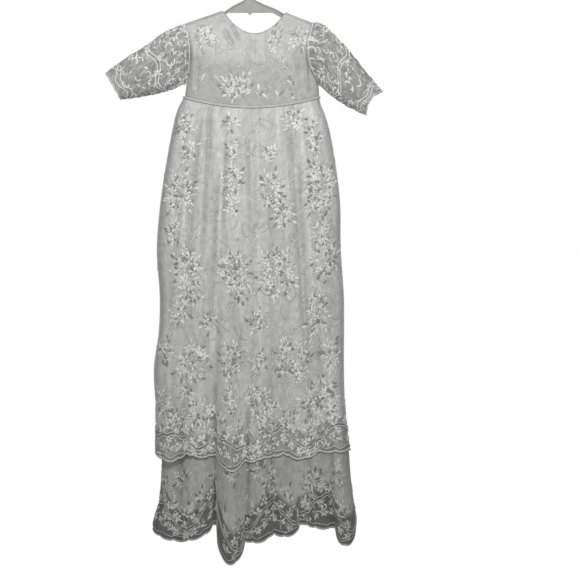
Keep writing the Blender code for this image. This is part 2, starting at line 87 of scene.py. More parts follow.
# X of the bodice's two sides, by height.
Edge = namedtuple("Edge", "z left right")
SIDE_EDGES = in_metres(Edge, (
    (-265, -121.5, 129.5), (-245, -120.5, 128.8), (-220, -117.5, 126.7), (-190, -111.5, 112.5),
    (-155, -109, 105.5), (-125, -114.5, 110.5), (-106, -121.5, 115.7),
))

# The skirt's sides and half depth, by drop below the waist.
Section = namedtuple("Section", "drop left right half_depth")
SKIRT_SECTIONS = in_metres(Section, (
    (0, -122, 129.2, 25), (13, -129.5, 131.5, 27), (28, -136, 138, 29), (50, -141.5, 145, 31.5),
    (117, -154.5, 158, 35.5), (191, -165.6, 167.4, 38.5), (283, -173, 169, 41), (376, -167.4, 175, 43),
    (431, -169, 175.2, 44), (505, -178.5, 175, 45), (580, -175, 177.5, 46), (654, -175.5, 186.2, 47),
    (710, -177, 190.5, 48), (783, -183.5, 200, 50),
))
# How far the layers inside are tucked in on the left.
Tuck = namedtuple("Tuck", "drop depth")
LEFT_TUCKS = in_metres(Tuck, (
    (0, 0), (560, 0), (680, 10), (750, 10), (790, 1),
))

# Large folds: X at the waist and the hem, the half width, and depths at the waist, half way and the hem.
Fold = namedtuple("Fold", "at_waist at_hem half_width waist middle hem")
FRONT_FOLDS = in_metres(Fold, (
    (-108, -156, 24, 1, 4, 8), (-85, -116, 30, 1.5, 6, 9), (-59, -34, 31, 2, 8, 19), (8, 16, 29, 1, 3, 8),
    (44, 64, 27, 1.5, 5, 7), (88, 128, 30, 2, 8, 5), (115, 178, 28, 1, 3, 14),
))
BACK_FOLDS = in_metres(Fold, (
    (-98, -145, 28, 1.5, 5, 10), (-64, -88, 32, 2, 8, 13), (-25, -30, 28, 1, 4, 8), (15, 24, 30, 2, 7, 14),
    (56, 82, 29, 1.5, 5, 9), (93, 136, 31, 2, 6, 12),
))

# Creases in the skirt: X at the top and the bottom, the drops they run between, and how far they stand out.
Crease = namedtuple("Crease", "top bottom start end half_width depth")
FRONT_CREASES = in_metres(Crease, (
    (-104, -150, 0, 520, 9, 2.2), (-92, -128, 30, 400, 7, -2), (-72, -92, 0, 350, 7, -2.5),
    (-49, -72, 100, 500, 9.5, 4.8), (-43, -46, 60, 260, 5.5, -2.8), (-24, -14, 0, 450, 8, 1.6),
    (-4, 0, 50, 300, 7, -2.2), (14, 22, 20, 500, 8, 1.8), (31, 44, 100, 400, 7, -1.6),
    (50, 70, 0, 260, 6, 1.6), (72, 98, 40, 450, 8, -2.6), (88, 112, 100, 480, 6, -2.6),
    (97, 127, 20, 470, 9, 3.6), (112, 150, 0, 360, 8, 1.8), (-150, -160, 450, 880, 9, 2.4),
    (-128, -134, 550, 880, 8, -2.2), (-92, -88, 500, 800, 10, 2), (-64, -64, 500, 880, 5.5, -3.4),
    (-4, -2, 550, 880, 5.5, -3.6), (38, 40, 500, 800, 8, -2), (88, 90, 550, 880, 8, 1.8),
    (110, 112, 500, 880, 8, -2.4), (150, 156, 600, 880, 6, -2.6),
))
BACK_CREASES = in_metres(Crease, (
    (-96, -134, 20, 440, 8, 2.4), (-78, -106, 0, 340, 7, -2.4), (-46, -60, 50, 520, 9, 2.6),
    (-30, -38, 0, 280, 6, -2.2), (-6, -2, 80, 460, 8, 2), (26, 34, 0, 380, 7, -2.6),
    (48, 66, 40, 500, 9, 2.8), (74, 98, 0, 300, 7, -2), (100, 134, 30, 420, 8, 2.4),
    (-130, -138, 480, 880, 8, -2.6), (-70, -68, 520, 880, 9, 2.8), (-12, -8, 550, 860, 7, -3),
    (48, 54, 500, 840, 8, 2.2), (108, 114, 560, 880, 8, -2.8),
))
CREASE_FADE_IN, CREASE_FADE_OUT = 0.03, 0.10

# Large scallops: X of the middle, the width, the drop, and how round the tip is.
Scallop = namedtuple("Scallop", "centre width drop edge")
UPPER_HEM = in_metres(Scallop, (
    (-147, 62, 22, 0.5), (-88, 66, 14, 0.5), (-34, 58, 39, 0.5), (3, 60, 22, 0.5), (34, 60, 14, 0.5),
    (92, 64, 17, 0.5), (150, 70, 5, 0.5),
))
LOWER_HEM = in_metres(Scallop, (
    (-129, 120, 31, 0.45), (-34, 54, 72, 0.32), (8, 84, 33, 0.45), (64, 58, 22, 0.5), (140, 64, 8, 0.5),
    (179, 40, 40, 0.32),
))
# The heights of the cusps between scallops, and the scallops behind and all along the hems.
FRONT_HEM_UPPER, BACK_HEM_UPPER = -0.8960, -0.8960
FRONT_HEM_LOWER, BACK_HEM_LOWER = -1.0340, -1.0300
BACK_SCALLOP_WIDTH, BACK_SCALLOP_DROP = 0.060, 0.0100
SMALL_SCALLOP_WIDTH, SMALL_SCALLOP_DROP = 0.029, 0.0035

# A section through a sleeve runs from a point on its top edge to one on its bottom edge.
SleeveSection = namedtuple("SleeveSection", "top_x top_z bottom_x bottom_z half_depth")
LEFT_SLEEVE = in_metres(SleeveSection, (
    (-140, -115, -129, -221.5, 14), (-160, -124, -141.5, -228, 16), (-190, -146.5, -164, -235, 17),
    (-227, -169, -197, -242.6, 17), (-269, -199.5, -241, -248.5, 16),
))
RIGHT_SLEEVE = in_metres(SleeveSection, (
    (136, -109, 134.5, -226, 14), (160, -131, 145, -235, 16), (182, -154, 160, -247, 17),
    (217, -198, 183, -262, 17), (247, -235, 217, -278, 16),
))
SLEEVE_GAP = 0.0008

# Creases in a sleeve: angles round the arm at its start and end, shares of its length, width and depth.
SLEEVE_CREASES = (
    (0.75, 0.55, 0.02, 0.50, 0.22, -0.0022), (0.45, 0.35, 0.00, 0.62, 0.20, 0.0018),
    (1.45, 1.25, 0.10, 0.70, 0.24, 0.0012), (1.90, 2.10, 0.05, 0.55, 0.20, -0.0014),
    (2.55, 2.40, 0.10, 0.95, 0.24, 0.0012), (1.10, 0.95, 0.45, 1.05, 0.18, -0.0010),
    (3.80, 3.95, 0.05, 0.60, 0.22, 0.0014), (4.40, 4.60, 0.10, 0.80, 0.24, -0.0014),
    (5.10, 5.00, 0.00, 0.55, 0.22, 0.0018), (5.70, 5.80, 0.10, 0.90, 0.22, -0.0014),
)

# Creases in the bodice: a line from one point of X and Z to another, its half width and its depth.
Line = namedtuple("Line", "x1 z1 x2 z2 half_width depth")
FRONT_LINES = in_metres(Line, (
    (-1, -128, -0.5, -190, 2.2, 0.8), (27, -127, 26.5, -193, 2.2, 0.9), (13, -134, 13, -180, 7, -0.6),
    (100, -150, 108, -238, 5.5, 3), (90, -175, 96, -240, 4.5, -1.8), (-103, -145, -108, -238, 6, 2),
    (-95, -180, -99, -240, 4.5, -1.5), (-88, -112, -60, -160, 6, 1), (-50, -115, -28, -155, 6, 1.2),
    (-36, -108, -15, -142, 4.5, -1), (56, -112, 48, -150, 5.5, 1), (-70, -205, -35, -240, 7, 1),
    (60, -200, 85, -238, 7, 1.1), (30, -215, 34, -250, 6, -0.9), (106, -135, 112, -220, 4, -1.6),
    (96, -130, 78, -170, 6, 1.2), (-101, -125, -86, -175, 5, -1.1), (-14, -205, -8, -250, 7, 0.9),
))
BACK_LINES = in_metres(Line, (
    (101, -150, 108, -238, 5.5, 2), (-102, -150, -107, -238, 6, 2.1), (-82, -125, -55, -170, 7, 1.2),
    (84, -125, 62, -175, 6.5, 1.2), (-60, -200, -35, -242, 7, 1.1), (56, -202, 72, -242, 7, -1),
    (-25, -195, -18, -248, 5, 1), (42, -205, 42, -250, 5, 0.9),
))
CREASE_SHARE = 1.5  # how deep the bodice's creases are, as a share of their table

SKIRT_COLUMNS, SKIRT_ROWS = 360, 110
LINING_COLUMNS, LINING_ROWS = 180, 50
SPACING_OVAL = (0.172, 0.043)  # half the width and depth of the oval that the columns are spaced on


# ---- curves
def smooth_step(t, start, end, start_slope, end_slope):
    """From start to end as t runs from 0 to 1, with the given slopes at the two ends."""
    leaving = (1 + 2 * t) * (1 - t) ** 2 * start + t * (1 - t) ** 2 * start_slope
    return leaving + t * t * (3 - 2 * t) * end + t * t * (t - 1) * end_slope


def curve_through(at, places, values):
    """Values on a smooth curve through the given ones, which stays level past its ends."""
    order = np.argsort(places)
    x, y = np.asarray(places, float)[order], np.asarray(values, float)[order]
    slope = np.gradient(y, x)
    at = np.clip(at, x[0], x[-1])
    i = np.clip(np.searchsorted(x, at, side="right") - 1, 0, len(x) - 2)
    step = x[i + 1] - x[i]
    return smooth_step((at - x[i]) / step, y[i], y[i + 1], step * slope[i], step * slope[i + 1])


def ease(value, low, high):
    t = np.clip((np.asarray(value, float) - low) / (high - low), 0.0, 1.0)
    return t * t * (3 - 2 * t)


def oval(across):
    return np.maximum(1 - np.abs(across) ** FULLNESS, 0.0) ** (1 / FULLNESS)


def bump(away):
    """A soft ridge: 1 in the middle, 0 from 1 on."""
    return 0.5 + 0.5 * np.cos(np.pi * np.clip(np.abs(away), 0, 1))


# ---- cloth as a grid
class Cloth:
    """A grid of points. u counts cells along a row and v counts rows."""

    def __init__(self, points, closed, out):
        self.points, self.closed = points, closed
        if closed:
            along = np.roll(points, -1, axis=1) - np.roll(points, 1, axis=1)
        else:
            along = np.gradient(points, axis=1)
        normal = np.cross(along, np.gradient(points, axis=0))
        normal /= np.maximum(np.linalg.norm(normal, axis=2, keepdims=True), 1e-12)
        self.turned = float((normal * out).sum()) < 0
        self.normals = -normal if self.turned else normal

    def mix(self, grid, u, v):
        rows, columns = self.points.shape[:2]
        u, v = np.asarray(u, float), np.clip(v, 0, rows - 1.001)
        u = np.mod(u, columns) if self.closed else np.clip(u, 0, columns - 1.001)
        i, j = v.astype(int), u.astype(int)
        k = (j + 1) % columns if self.closed else j + 1
        a, b = (v - i)[..., None], (u - j)[..., None]
        upper = (1 - b) * grid[i, j] + b * grid[i, k]
        lower = (1 - b) * grid[i + 1, j] + b * grid[i + 1, k]
        return (1 - a) * upper + a * lower

    def at(self, u, v, lift):
        lift = np.asarray(lift, float)[..., None]
        return self.mix(self.points, u, v) + lift * self.mix(self.normals, u, v)

    def cell(self, u, v):
        """How long a cell is along the row, and down, at each place."""
        zero = np.zeros_like(np.asarray(u, float))
        right, left = self.at(u + 0.5, v, zero), self.at(u - 0.5, v, zero)
        below, above = self.at(u, v + 0.5, zero), self.at(u, v - 0.5, zero)
        wide = np.linalg.norm(right - left, axis=-1)
        tall = np.linalg.norm(below - above, axis=-1)
        return np.maximum(wide, 1e-4), np.maximum(tall, 1e-4)

    def place(self, x, z, side=-1):
        """The grid place nearest to X and Z on the front (-1) or the back (1)."""
        away = np.hypot(self.points[..., 0] - x, self.points[..., 2] - z)
        away = np.where(np.sign(self.normals[..., 1]) == side, away, 1.0)
        row, column = np.unravel_index(np.argmin(away), away.shape)
        return float(column), float(row)

    def above_hem(self, u, height):
        """v for places a height above the last row, along the cloth."""
        rows, columns = self.points.shape[:2]
        down = np.linalg.norm(np.diff(self.points, axis=0), axis=2)
        up = np.concatenate([np.zeros((1, columns)), np.cumsum(down[::-1], axis=0)])
        column = np.mod(np.round(u).astype(int), columns)
        height = np.broadcast_to(height, column.shape)
        return np.array([rows - 1 - np.interp(h, up[:, c], np.arange(rows)) for h, c in zip(height, column)])

    def faces(self):
        rows, columns = self.points.shape[:2]
        across = columns if self.closed else columns - 1
        r, c = np.meshgrid(np.arange(rows - 1), np.arange(across), indexing="ij")
        d = (c + 1) % columns
        quads = np.stack([r * columns + c, (r + 1) * columns + c, (r + 1) * columns + d, r * columns + d], -1)
        quads = quads.reshape(-1, 4)
        return quads if self.turned else quads[:, ::-1]

    def lengths(self):
        """Metres along each row and down each column, for the weave's coordinates."""
        rows, columns = self.points.shape[:2]
        along = np.linalg.norm(np.diff(self.points, axis=1), axis=2)
        down = np.linalg.norm(np.diff(self.points, axis=0), axis=2)
        u = np.concatenate([np.zeros((rows, 1)), np.cumsum(along, axis=1)], axis=1)
        v = np.concatenate([np.zeros((1, columns)), np.cumsum(down, axis=0)], axis=0)
        return u, v


def mesh_object(name, points, faces, look, uv=None, tone=None):
    """A mesh object from arrays. uv and tone hold a value for each point."""
    mesh = bpy.data.meshes.new(name)
    mesh.from_pydata([tuple(p) for p in points], [], [tuple(f) for f in faces])
    mesh.validate()
    if uv is not None:
        layer = mesh.uv_layers.new(name="cloth")
        corner = np.zeros(len(mesh.loops), np.int32)
        mesh.loops.foreach_get("vertex_index", corner)
        layer.data.foreach_set("uv", np.asarray(uv, np.float32)[corner].ravel())
    if tone is not None:
        values = mesh.attributes.new("tone", "FLOAT", "POINT")
        values.data.foreach_set("value", np.asarray(tone, np.float32))
    mesh.shade_smooth()
    made = bpy.data.objects.new(name, mesh)
    mesh.materials.append(look)
    bpy.context.scene.collection.objects.link(made)
    return made


def on_body(made, nodes=()):
    """The piece rides on the one body, and stands for its CAD nodes."""
    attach(made, "root")
    if nodes:
        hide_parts(*nodes)
    return made


def cloth_object(name, cloth, look, nodes, tone=None):
    """A thin shell on a cloth grid."""
    rows, columns = cloth.points.shape[:2]
    u, v = cloth.lengths()
    uv = np.stack([u[:, :columns], v[:rows, :]], -1).reshape(-1, 2)
    tone = np.ones(rows * columns) if tone is None else tone.reshape(-1)
    made = mesh_object(name, cloth.points.reshape(-1, 3), cloth.faces(), look, uv=uv, tone=tone)
    solid = made.modifiers.new("wall", "SOLIDIFY")
    solid.thickness = WALL
    solid.offset = -1
    return on_body(made, nodes)


# ---- the skirt
def waist_z(across):
    return WAIST_SIDE - WAIST_DIP * (1 - np.minimum(across * across, 1.0))


def section(drop, field):
    return curve_through(drop, [s.drop for s in SKIRT_SECTIONS], [getattr(s, field) for s in SKIRT_SECTIONS])


def fold_out(x, drop, side):
    """How far the large folds stand out. They widen and deepen towards the hem."""
    share = np.minimum(drop / SKIRT_SECTIONS[-1].drop, 1.0)
    out = np.zeros_like(x)
    for folds, here in ((FRONT_FOLDS, side < 0), (BACK_FOLDS, side > 0)):
        for fold in folds:
            middle = fold.at_waist + share * (fold.at_hem - fold.at_waist)
            width = fold.half_width * (0.6 + 0.4 * share)
            depth = np.interp(share, (0, 0.5, 1), (fold.waist, fold.middle, fold.hem))
            out += np.where(here, depth * bump((x - middle) / width), 0)
    return out


def creases_out(x, drop, side):
    out = np.zeros_like(x)
    for creases, here in ((FRONT_CREASES, side < 0), (BACK_CREASES, side > 0)):
        for c in creases:
            share = np.clip((drop - c.start) / (c.end - c.start), 0, 1)
            middle = c.top + share * (c.bottom - c.top)
            ending = ease(drop, c.end - CREASE_FADE_OUT, c.end)
            fade = ease(drop, c.start, c.start + CREASE_FADE_IN) * (1 - ending)
            out += np.where(here, c.depth * fade * bump((x - middle) / c.half_width), 0)
    return out


def make_gathers():
    """Small uneven pleats under the waist seam, as (side, place, width, depth, reach)."""
    dice = np.random.default_rng(11)
    last, pleats = 0.97, []
    for side in (-1, 1):
        across = -last
        while across < last:
            across += dice.uniform(0.045, 0.095)
            width, depth = dice.uniform(0.028, 0.046), dice.uniform(0.0009, 0.0023)
            pleats.append((side, across, width, depth, dice.uniform(0.04, 0.15)))
    return pleats


GATHERS = make_gathers()


def gathers_out(across, drop, side):
    out = np.zeros_like(across)
    for where, middle, width, depth, reach in GATHERS:
        fade = np.clip(1 - drop / reach, 0, 1) ** 1.3 * ease(drop, -0.001, 0.009)
        out += np.where(side == where, depth * fade * bump((across - middle) / width), 0)
    return out


def skirt_xyz(across, side, drop, inset, tucked):
    left, right, half_depth = section(drop, "left"), section(drop, "right"), section(drop, "half_depth")
    middle, half_width = (left + right) / 2, (right - left) / 2
    x = middle + across * half_width
    fullness = oval(across)
    nx = np.sign(across) * np.abs(across) ** (FULLNESS - 1) / half_width
    ny = side * fullness ** (FULLNESS - 1) / half_depth
    size = np.hypot(nx, ny)
    if tucked:
        tuck = np.interp(drop, [t.drop for t in LEFT_TUCKS], [t.depth for t in LEFT_TUCKS])
        inset = inset + tuck * ease(-across, 0.3, 1.0)
    out = fold_out(x, drop, side) + creases_out(x, drop, side) + gathers_out(across, drop, side)
    y = side * (half_depth * fullness + out * np.sqrt(fullness))
    z = waist_z(across) - drop
    return np.stack([x - inset * nx / size, y - inset * ny / size, z], -1)


def round_columns(count):
    """(across, side) for each column, from the left edge over the front and back behind."""
    nominal = -np.cos(np.linspace(0, math.pi, 721))
    half_width, half_depth = SPACING_OVAL
    length = np.hypot(np.diff(nominal * half_width), np.diff(oval(nominal) * half_depth))
    along = np.concatenate([[0], np.cumsum(length)])
    front = np.interp(np.linspace(0, along[-1], count // 2 + 1), along, nominal)
    front[0], front[-1] = -1.0, 1.0
    across = np.concatenate([front, front[-2:0:-1]])
    side = np.concatenate([-np.ones(len(front)), np.ones(len(front) - 2)])
    return across, side


def scalloped(x, scallops, cusps):
    drop = np.zeros_like(x)
    for s in scallops:
        away = np.clip(np.abs(x - s.centre) / (s.width / 2), 0, 1)
        drop = np.maximum(drop, s.drop * np.maximum(np.cos(away * math.pi / 2), 0) ** s.edge)
    return cusps - drop


GIRTH_SHARE = 1.08  # half the girth, as a share of the flat width


def hem_heights(scallops, front_cusps, back_cusps):
    """The hem's height at each column: large scallops with small ones along them."""
    across, side = round_columns(SKIRT_COLUMNS)
    drop = waist_z(across) - front_cusps
    left, right = section(drop, "left"), section(drop, "right")
    x = (left + right) / 2 + across * (right - left) / 2
    back = back_cusps - BACK_SCALLOP_DROP * np.abs(np.sin(math.pi * x / BACK_SCALLOP_WIDTH))
    z = np.where(side < 0, scalloped(x, scallops, front_cusps), back)
    turn = np.arange(SKIRT_COLUMNS) / SKIRT_COLUMNS * 2 * (right - left) * GIRTH_SHARE
    small = np.sqrt(np.abs(np.sin(math.pi * turn / SMALL_SCALLOP_WIDTH)))
    return z + SMALL_SCALLOP_DROP * 0.4 - SMALL_SCALLOP_DROP * small


def skirt_grid(across, side, drop, inset, tucked):
    across, side = np.broadcast_to(across, drop.shape), np.broadcast_to(side, drop.shape)
    outward = np.stack([across, side * 2.0, np.zeros_like(drop)], -1)
    return Cloth(skirt_xyz(across, side, drop, inset, tucked), True, outward)


def skirt_cloth(hem, rows, inset, tucked, crowd=1.0):
    """A layer's grid, down to a height for each column. crowd above 1 sets its rows closer together there."""
    across, side = round_columns(len(hem))
    share = 1 - (1 - np.linspace(0, 1, rows)) ** crowd
    drop = share[:, None] * (waist_z(across) - hem - WAIST_GAP)[None, :] + WAIST_GAP
    return skirt_grid(across, side, drop, inset, tucked)


# ---- the bodice
NECK_START = (NECK_LEFT[0] - TIP_LEFT[0]) / (TIP_RIGHT[0] - TIP_LEFT[0])
NECK_END = (NECK_RIGHT[0] - TIP_LEFT[0]) / (TIP_RIGHT[0] - TIP_LEFT[0])


def lines_out(x, z, lines):
    out = np.zeros_like(x)
    for line in lines:
        run = np.array((line.x2 - line.x1, line.z2 - line.z1))
        length = np.linalg.norm(run)
        run /= length
        along = ((x - line.x1) * run[0] + (z - line.z1) * run[1]) / length
        away = (x - line.x1) * -run[1] + (z - line.z1) * run[0]
        fade = ease(along, -0.02, 0.22) * (1 - ease(along, 0.72, 1.02))
        out += line.depth * fade * bump(away / line.half_width)
    return out


def shoulder_z(c):
    shares = (0.0, NECK_START, NECK_END, 1.0)
    return np.interp(c, shares, (TIP_LEFT[1], NECK_LEFT[1], NECK_RIGHT[1], TIP_RIGHT[1]))


def top_z(c):
    w = (2 * c - NECK_START - NECK_END) / (NECK_END - NECK_START)
    return shoulder_z(c) - NECK_DROP * np.maximum(1 - w * w, 0.0)


def bodice_depth(across, z, below_shoulder):
    turned = np.clip(below_shoulder / ROLL, 0.0, 1.0)
    turn = np.sqrt(1 - (1 - turned) ** 2)
    full = ROLL + (CHEST - ROLL) * (1 - ease(z, CHEST_BOTTOM, CHEST_TOP))
    closing = 1 - ease(z, UNDERARM, TIP_LEFT[1])
    return turn * full * (1 - closing + closing * oval(across))


def side_edge(z, which):
    return curve_through(z, [e.z for e in SIDE_EDGES], [getattr(e, which) for e in SIDE_EDGES])


def bodice_cloth(first, last, columns, rows, side, lines):
    """A panel from one share of the way across to another, on the side -1 in front or 1 behind."""
    c = np.linspace(first, last, columns)
    ends = ease(c, 0.0, 0.012) * (1 - ease(c, 0.988, 1.0))
    t = 1 - np.linspace(0, 1, rows) ** 1.35
    c, t = np.broadcast_arrays(c[None, :], t[:, None])
    across = 2 * c - 1
    bottom = waist_z(across)
    z = bottom + t * (top_z(c) - bottom)
    left_z = WAIST_SIDE + t * (TIP_LEFT[1] - WAIST_SIDE)
    right_z = WAIST_SIDE + t * (TIP_RIGHT[1] - WAIST_SIDE)
    left, right = side_edge(left_z, "left"), side_edge(right_z, "right")
    x = left + c * (right - left)
    edge_z = left_z + c * (right_z - left_z)
    height = np.where(np.abs(across) > 0.999, edge_z, z)
    depth = bodice_depth(across, height, shoulder_z(c) - z)
    out = CREASE_SHARE * lines_out(x, z, lines) * ends[None, :] * ease(shoulder_z(c) - z, 0.0, 0.012)
    y = side * (SEAM + depth + out)
    points = np.stack([x, y, z], -1)
    return Cloth(points, False, np.broadcast_to((0.0, side, 0.0), points.shape))


# ---- the sleeves
def arm_creases(angle, length):
    """How far a sleeve's creases push it out."""
    push = np.zeros(angle.shape)
    for at, to, start, end, width, lift in SLEEVE_CREASES:
        middle = at + (to - at) * np.clip((length - start) / (end - start), 0, 1)
        fade = ease(length, start, start + 0.12) * (1 - ease(length, end - 0.2, end))
        away = (np.mod(angle - middle + math.pi, AROUND) - math.pi) / width
        push += lift * fade * bump(away)
    return push * ease(length, 0.0, 0.05)


def sleeve_cloth(which, tip, sections, notch, lobes, columns=112, rows=78):
    """A sleeve's grid: rings from the armhole out, joined by smooth curves along the arm."""
    outboard = -1 if which == "left" else 1
    angle = np.linspace(0, AROUND, columns, endpoint=False)
    z = (tip[1] + UNDERARM) / 2 + (tip[1] - UNDERARM) / 2 * np.cos(angle)
    depth = bodice_depth(1.0, z, tip[1] - z)
    rings = [np.stack([side_edge(z, which) + outboard * SLEEVE_GAP, -np.sign(np.sin(angle)) * depth, z], -1)]
    before, last = sections[-2:]
    along = np.array((last.top_x - before.top_x, last.top_z - before.top_z))
    along /= np.linalg.norm(along)
    ripple = 1 - np.sqrt(np.abs(np.cos(lobes * angle / 2)))
    cuff = notch * (0.5 - 0.5 * np.cos(2 * angle)) + SMALL_SCALLOP_DROP * 0.6 * ripple
    for s in sections:
        top, bottom = np.array((s.top_x, s.top_z)), np.array((s.bottom_x, s.bottom_z))
        cut = cuff if s is last else cuff * 0
        place = (top + bottom) / 2 + np.cos(angle)[:, None] * (top - bottom) / 2 - cut[:, None] * along
        rings.append(np.stack([place[:, 0], -s.half_depth * np.sin(angle), place[:, 1]], -1))
    rings = np.array(rings)
    share = np.linspace(0, len(rings) - 1, rows)
    i = np.clip(share.astype(int), 0, len(rings) - 2)
    slope = np.gradient(rings, axis=0)
    points = smooth_step((share - i)[:, None, None], rings[i], rings[i + 1], slope[i], slope[i + 1])
    outward = (points - points.mean(axis=1, keepdims=True)) * (1, 4, 1)
    angle, length = np.meshgrid(angle, np.linspace(0, 1, rows))
    push = arm_creases(angle, length)
    return Cloth(points + push[..., None] * Cloth(points, True, outward).normals, True, outward)


# ---- embroidery
LEAF_STATIONS = ((0.0, 0.0), (0.16, 0.58), (0.42, 1.0), (0.68, 0.82), (0.88, 0.42), (1.0, 0.0))
# Leaves draw their tone at random, from near black to white: painted highlight and painted shade, for the
# satin stitches' sheen as they face the light or turn from it.
LEAF_TONES, LEAF_ODDS = (0.15, 0.5, 0.85, 1.0), (0.24, 0.16, 0.3, 0.3)
WHORLS = ((6, 1.0, 0.0, 0.0012), (4, 0.62, 0.5, 0.0019))  # a rose's petals: count, size, turn and height
EDGE_LIFT = -0.00015  # the stitches' edges lie just inside the cloth
# Leaves are darker along their edges than along their raised middle: painted shade at the edges.
EDGE_SHADE = 0.45
PETAL_SLIM, LEAF_SLIM = 0.62, 0.56  # widths as shares of lengths
STEM, CURL_CORD = (0.0012, 0.0006), (0.0013, 0.0006)  # widths and heights of thin cords
DOT, DOT_SPACING, DOT_TONES = 0.00115, 0.0027, (0.25, 1.0)
CORD_TONES, SCROLL_TONES = (0.3, 0.75, 0.95), (0.45, 0.8, 1.0)
ROSE_ACROSS, ROSE_DOWN = 0.034, 0.022  # how far apart the roses of a bunch are
FAN, FLOWERS, CURLS = 9, 3, 2  # sprigs, flowers and curling lines of a bunch of density 1
BEAD_SIDES = 6
CURL_STEPS = 12


class Stitching:
    """Raised work on one cloth. Places are in the cloth's cells, and sizes in metres."""

    def __init__(self, cloth, seed, shadowed=False):
        self.cloth, self.dice, self.shadowed = cloth, np.random.default_rng(seed), shadowed
        self.leaves, self.beads, self.cords = [], [], []

    def leaf(self, u, v, angle, length, width, height=0.0011, tone=None):
        """A padded leaf from (u, v). The angle is from straight down, towards rising u."""
        tone = self.dice.choice(LEAF_TONES, p=LEAF_ODDS) if tone is None else tone
        # With shadowed set, each leaf lies on a flat black copy a little larger than itself: a painted shadow
        # round the leaf.
        if self.shadowed:
            self.leaves.append((u, v, angle, length * 1.10, width * 1.45, height * 0.35, 0.0))
        self.leaves.append((u, v, angle, length, width, height, tone))

    def loose_leaf(self, u, v, smallest, largest, slim, height=0.0011):
        """A leaf of any size between two, pointing any way. slim is its width as a share of its length."""
        size = self.dice.uniform(smallest, largest)
        self.leaf(u, v, self.dice.uniform(0, 6.28), size, size * slim, height)

    def bead(self, u, v, radius=0.0010, tone=0.9):
        self.beads.append((u, v, radius, tone))

    def cord(self, path, width=0.0016, height=0.0008, tone=0.85):
        """A corded line along a path of (u, v) places."""
        self.cords.append((np.asarray(path, float), width, height, tone))

    def moved(self, u, v, angle, reach):
        """The place at a reach from another, in metres, in the direction of an angle."""
        return self.shifted(u, v, reach * math.sin(angle), reach * math.cos(angle))

    def shifted(self, u, v, x, y):
        """The place that lies x along the row and y down it from another, in metres."""
        wide, tall = self.cloth.cell(np.asarray(u, float), np.asarray(v, float))
        return u + x / wide, v + y / tall

    # Motifs ------------------------------------------------------
    def flower(self, u, v, radius, turn=0.0, petals=5):
        for i in range(petals):
            self.leaf(u, v, turn + AROUND * i / petals, radius, radius * PETAL_SLIM, 0.0013)
        self.bead(u, v, radius * 0.2)

    def rose(self, u, v, smallest, largest):
        """Petals in two whorls round a knot."""
        radius, turn = self.dice.uniform(smallest, largest), self.dice.uniform(0, 6)
        for count, share, at, height in WHORLS:
            for i in range(count):
                angle = turn + at + AROUND * i / count
                place = self.moved(u, v, angle, radius * 0.12)
                self.leaf(*place, angle + 0.35, radius * share, radius * share * 0.75, height)
        self.bead(u, v, radius * 0.22)

    def sprig(self, u, v, angle, length, leaf, pairs=3, bend=0.0, spread=0.75):
        """A stem with paired leaves and one at its tip."""
        steps, path = 2 * pairs + 2, [(u, v)]
        for i in range(steps):
            angle += bend / steps
            path.append(self.moved(*path[-1], angle, length / steps))
            if i % 2 == 1 and i < steps - 1:
                for side in (-1, 1):
                    size = leaf * self.dice.uniform(0.85, 1.1)
                    self.leaf(*path[-1], angle + side * spread, size, size * LEAF_SLIM)
        self.leaf(*path[-1], angle, leaf * 1.1, leaf * 0.58)
        self.cord(path, *STEM)

    def vine(self, u, v, angle, length, bend):
        """A dotted, curling line."""
        count = max(int(length / DOT_SPACING), 2)
        for i in range(count):
            angle += bend / count
            u, v = self.moved(u, v, angle, DOT_SPACING)
            self.bead(u, v, DOT, DOT_TONES[i % 2])
        return u, v

    def tendril(self, u, v, angle, length, bend):
        """A thin corded line that curls more tightly towards its end."""
        path = [(u, v)]
        for i in range(CURL_STEPS):
            angle += bend * (i + 1) / (CURL_STEPS * 5)
            path.append(self.moved(*path[-1], angle, length / CURL_STEPS))
        self.cord(path, *CURL_CORD, self.dice.choice(CORD_TONES))

    def scroll(self, u, v, radius, turn, sweep, width):
        """A curled cord."""
        path = []
        for share in np.arange(CURL_STEPS) / (CURL_STEPS - 1):
            path.append(self.moved(u, v, turn + sweep * share, radius * (1.0 - 0.45 * share)))
        self.cord(path, width, 0.0013, self.dice.choice(SCROLL_TONES))

    def spray(self, u, v, wide, tall, turn, dense):
        """A bunch: a rough grid of roses, sprigs fanned round it, flowers, dotted lines and tendrils."""
        dice, a, b = self.dice, wide / 2, tall / 2
        down, across = max(int(round(tall / ROSE_DOWN)), 1), max(int(round(wide / ROSE_ACROSS)), 1)
        for i in range(down):
            for j in range(across):
                x = wide * (0.72 * ((j + 0.5) / across - 0.5) + dice.uniform(-0.16, 0.16))
                y = tall * (0.86 * ((i + 0.5) / down - 0.5) + 0.10 * (j % 2))
                if math.hypot(x / a, y / b) < 1.0:
                    self.rose(*self.shifted(u, v, x, y), 0.0074, 0.0104)
        fan = int(round(FAN * dense))
        for i in range(fan):
            angle = turn + AROUND * (i + dice.uniform(-0.25, 0.25)) / fan
            reach = 1 / math.hypot(math.sin(angle) / a, math.cos(angle) / b)
            start = reach * dice.uniform(0.25, 0.45)
            place, length = self.moved(u, v, angle, start), reach - start
            pairs = 1 + int(length > 0.016) + int(length > 0.028)
            self.sprig(*place, angle, length, dice.uniform(0.0075, 0.0120), pairs, dice.uniform(-0.7, 0.7))
        for _ in range(int(round(FLOWERS * dense))):
            angle = dice.uniform(0, AROUND)
            place = self.shifted(u, v, 0.6 * a * math.sin(angle), 0.6 * b * math.cos(angle))
            self.flower(*place, dice.uniform(0.0055, 0.0080), dice.uniform(0, 6))
        for _ in range(CURLS):
            self.vine(u, v, dice.uniform(0, AROUND), (a + b) * 0.9, dice.uniform(-2.5, 2.5))
            self.tendril(u, v, dice.uniform(0, AROUND), (a + b) * 0.95, dice.uniform(-3.6, 3.6))

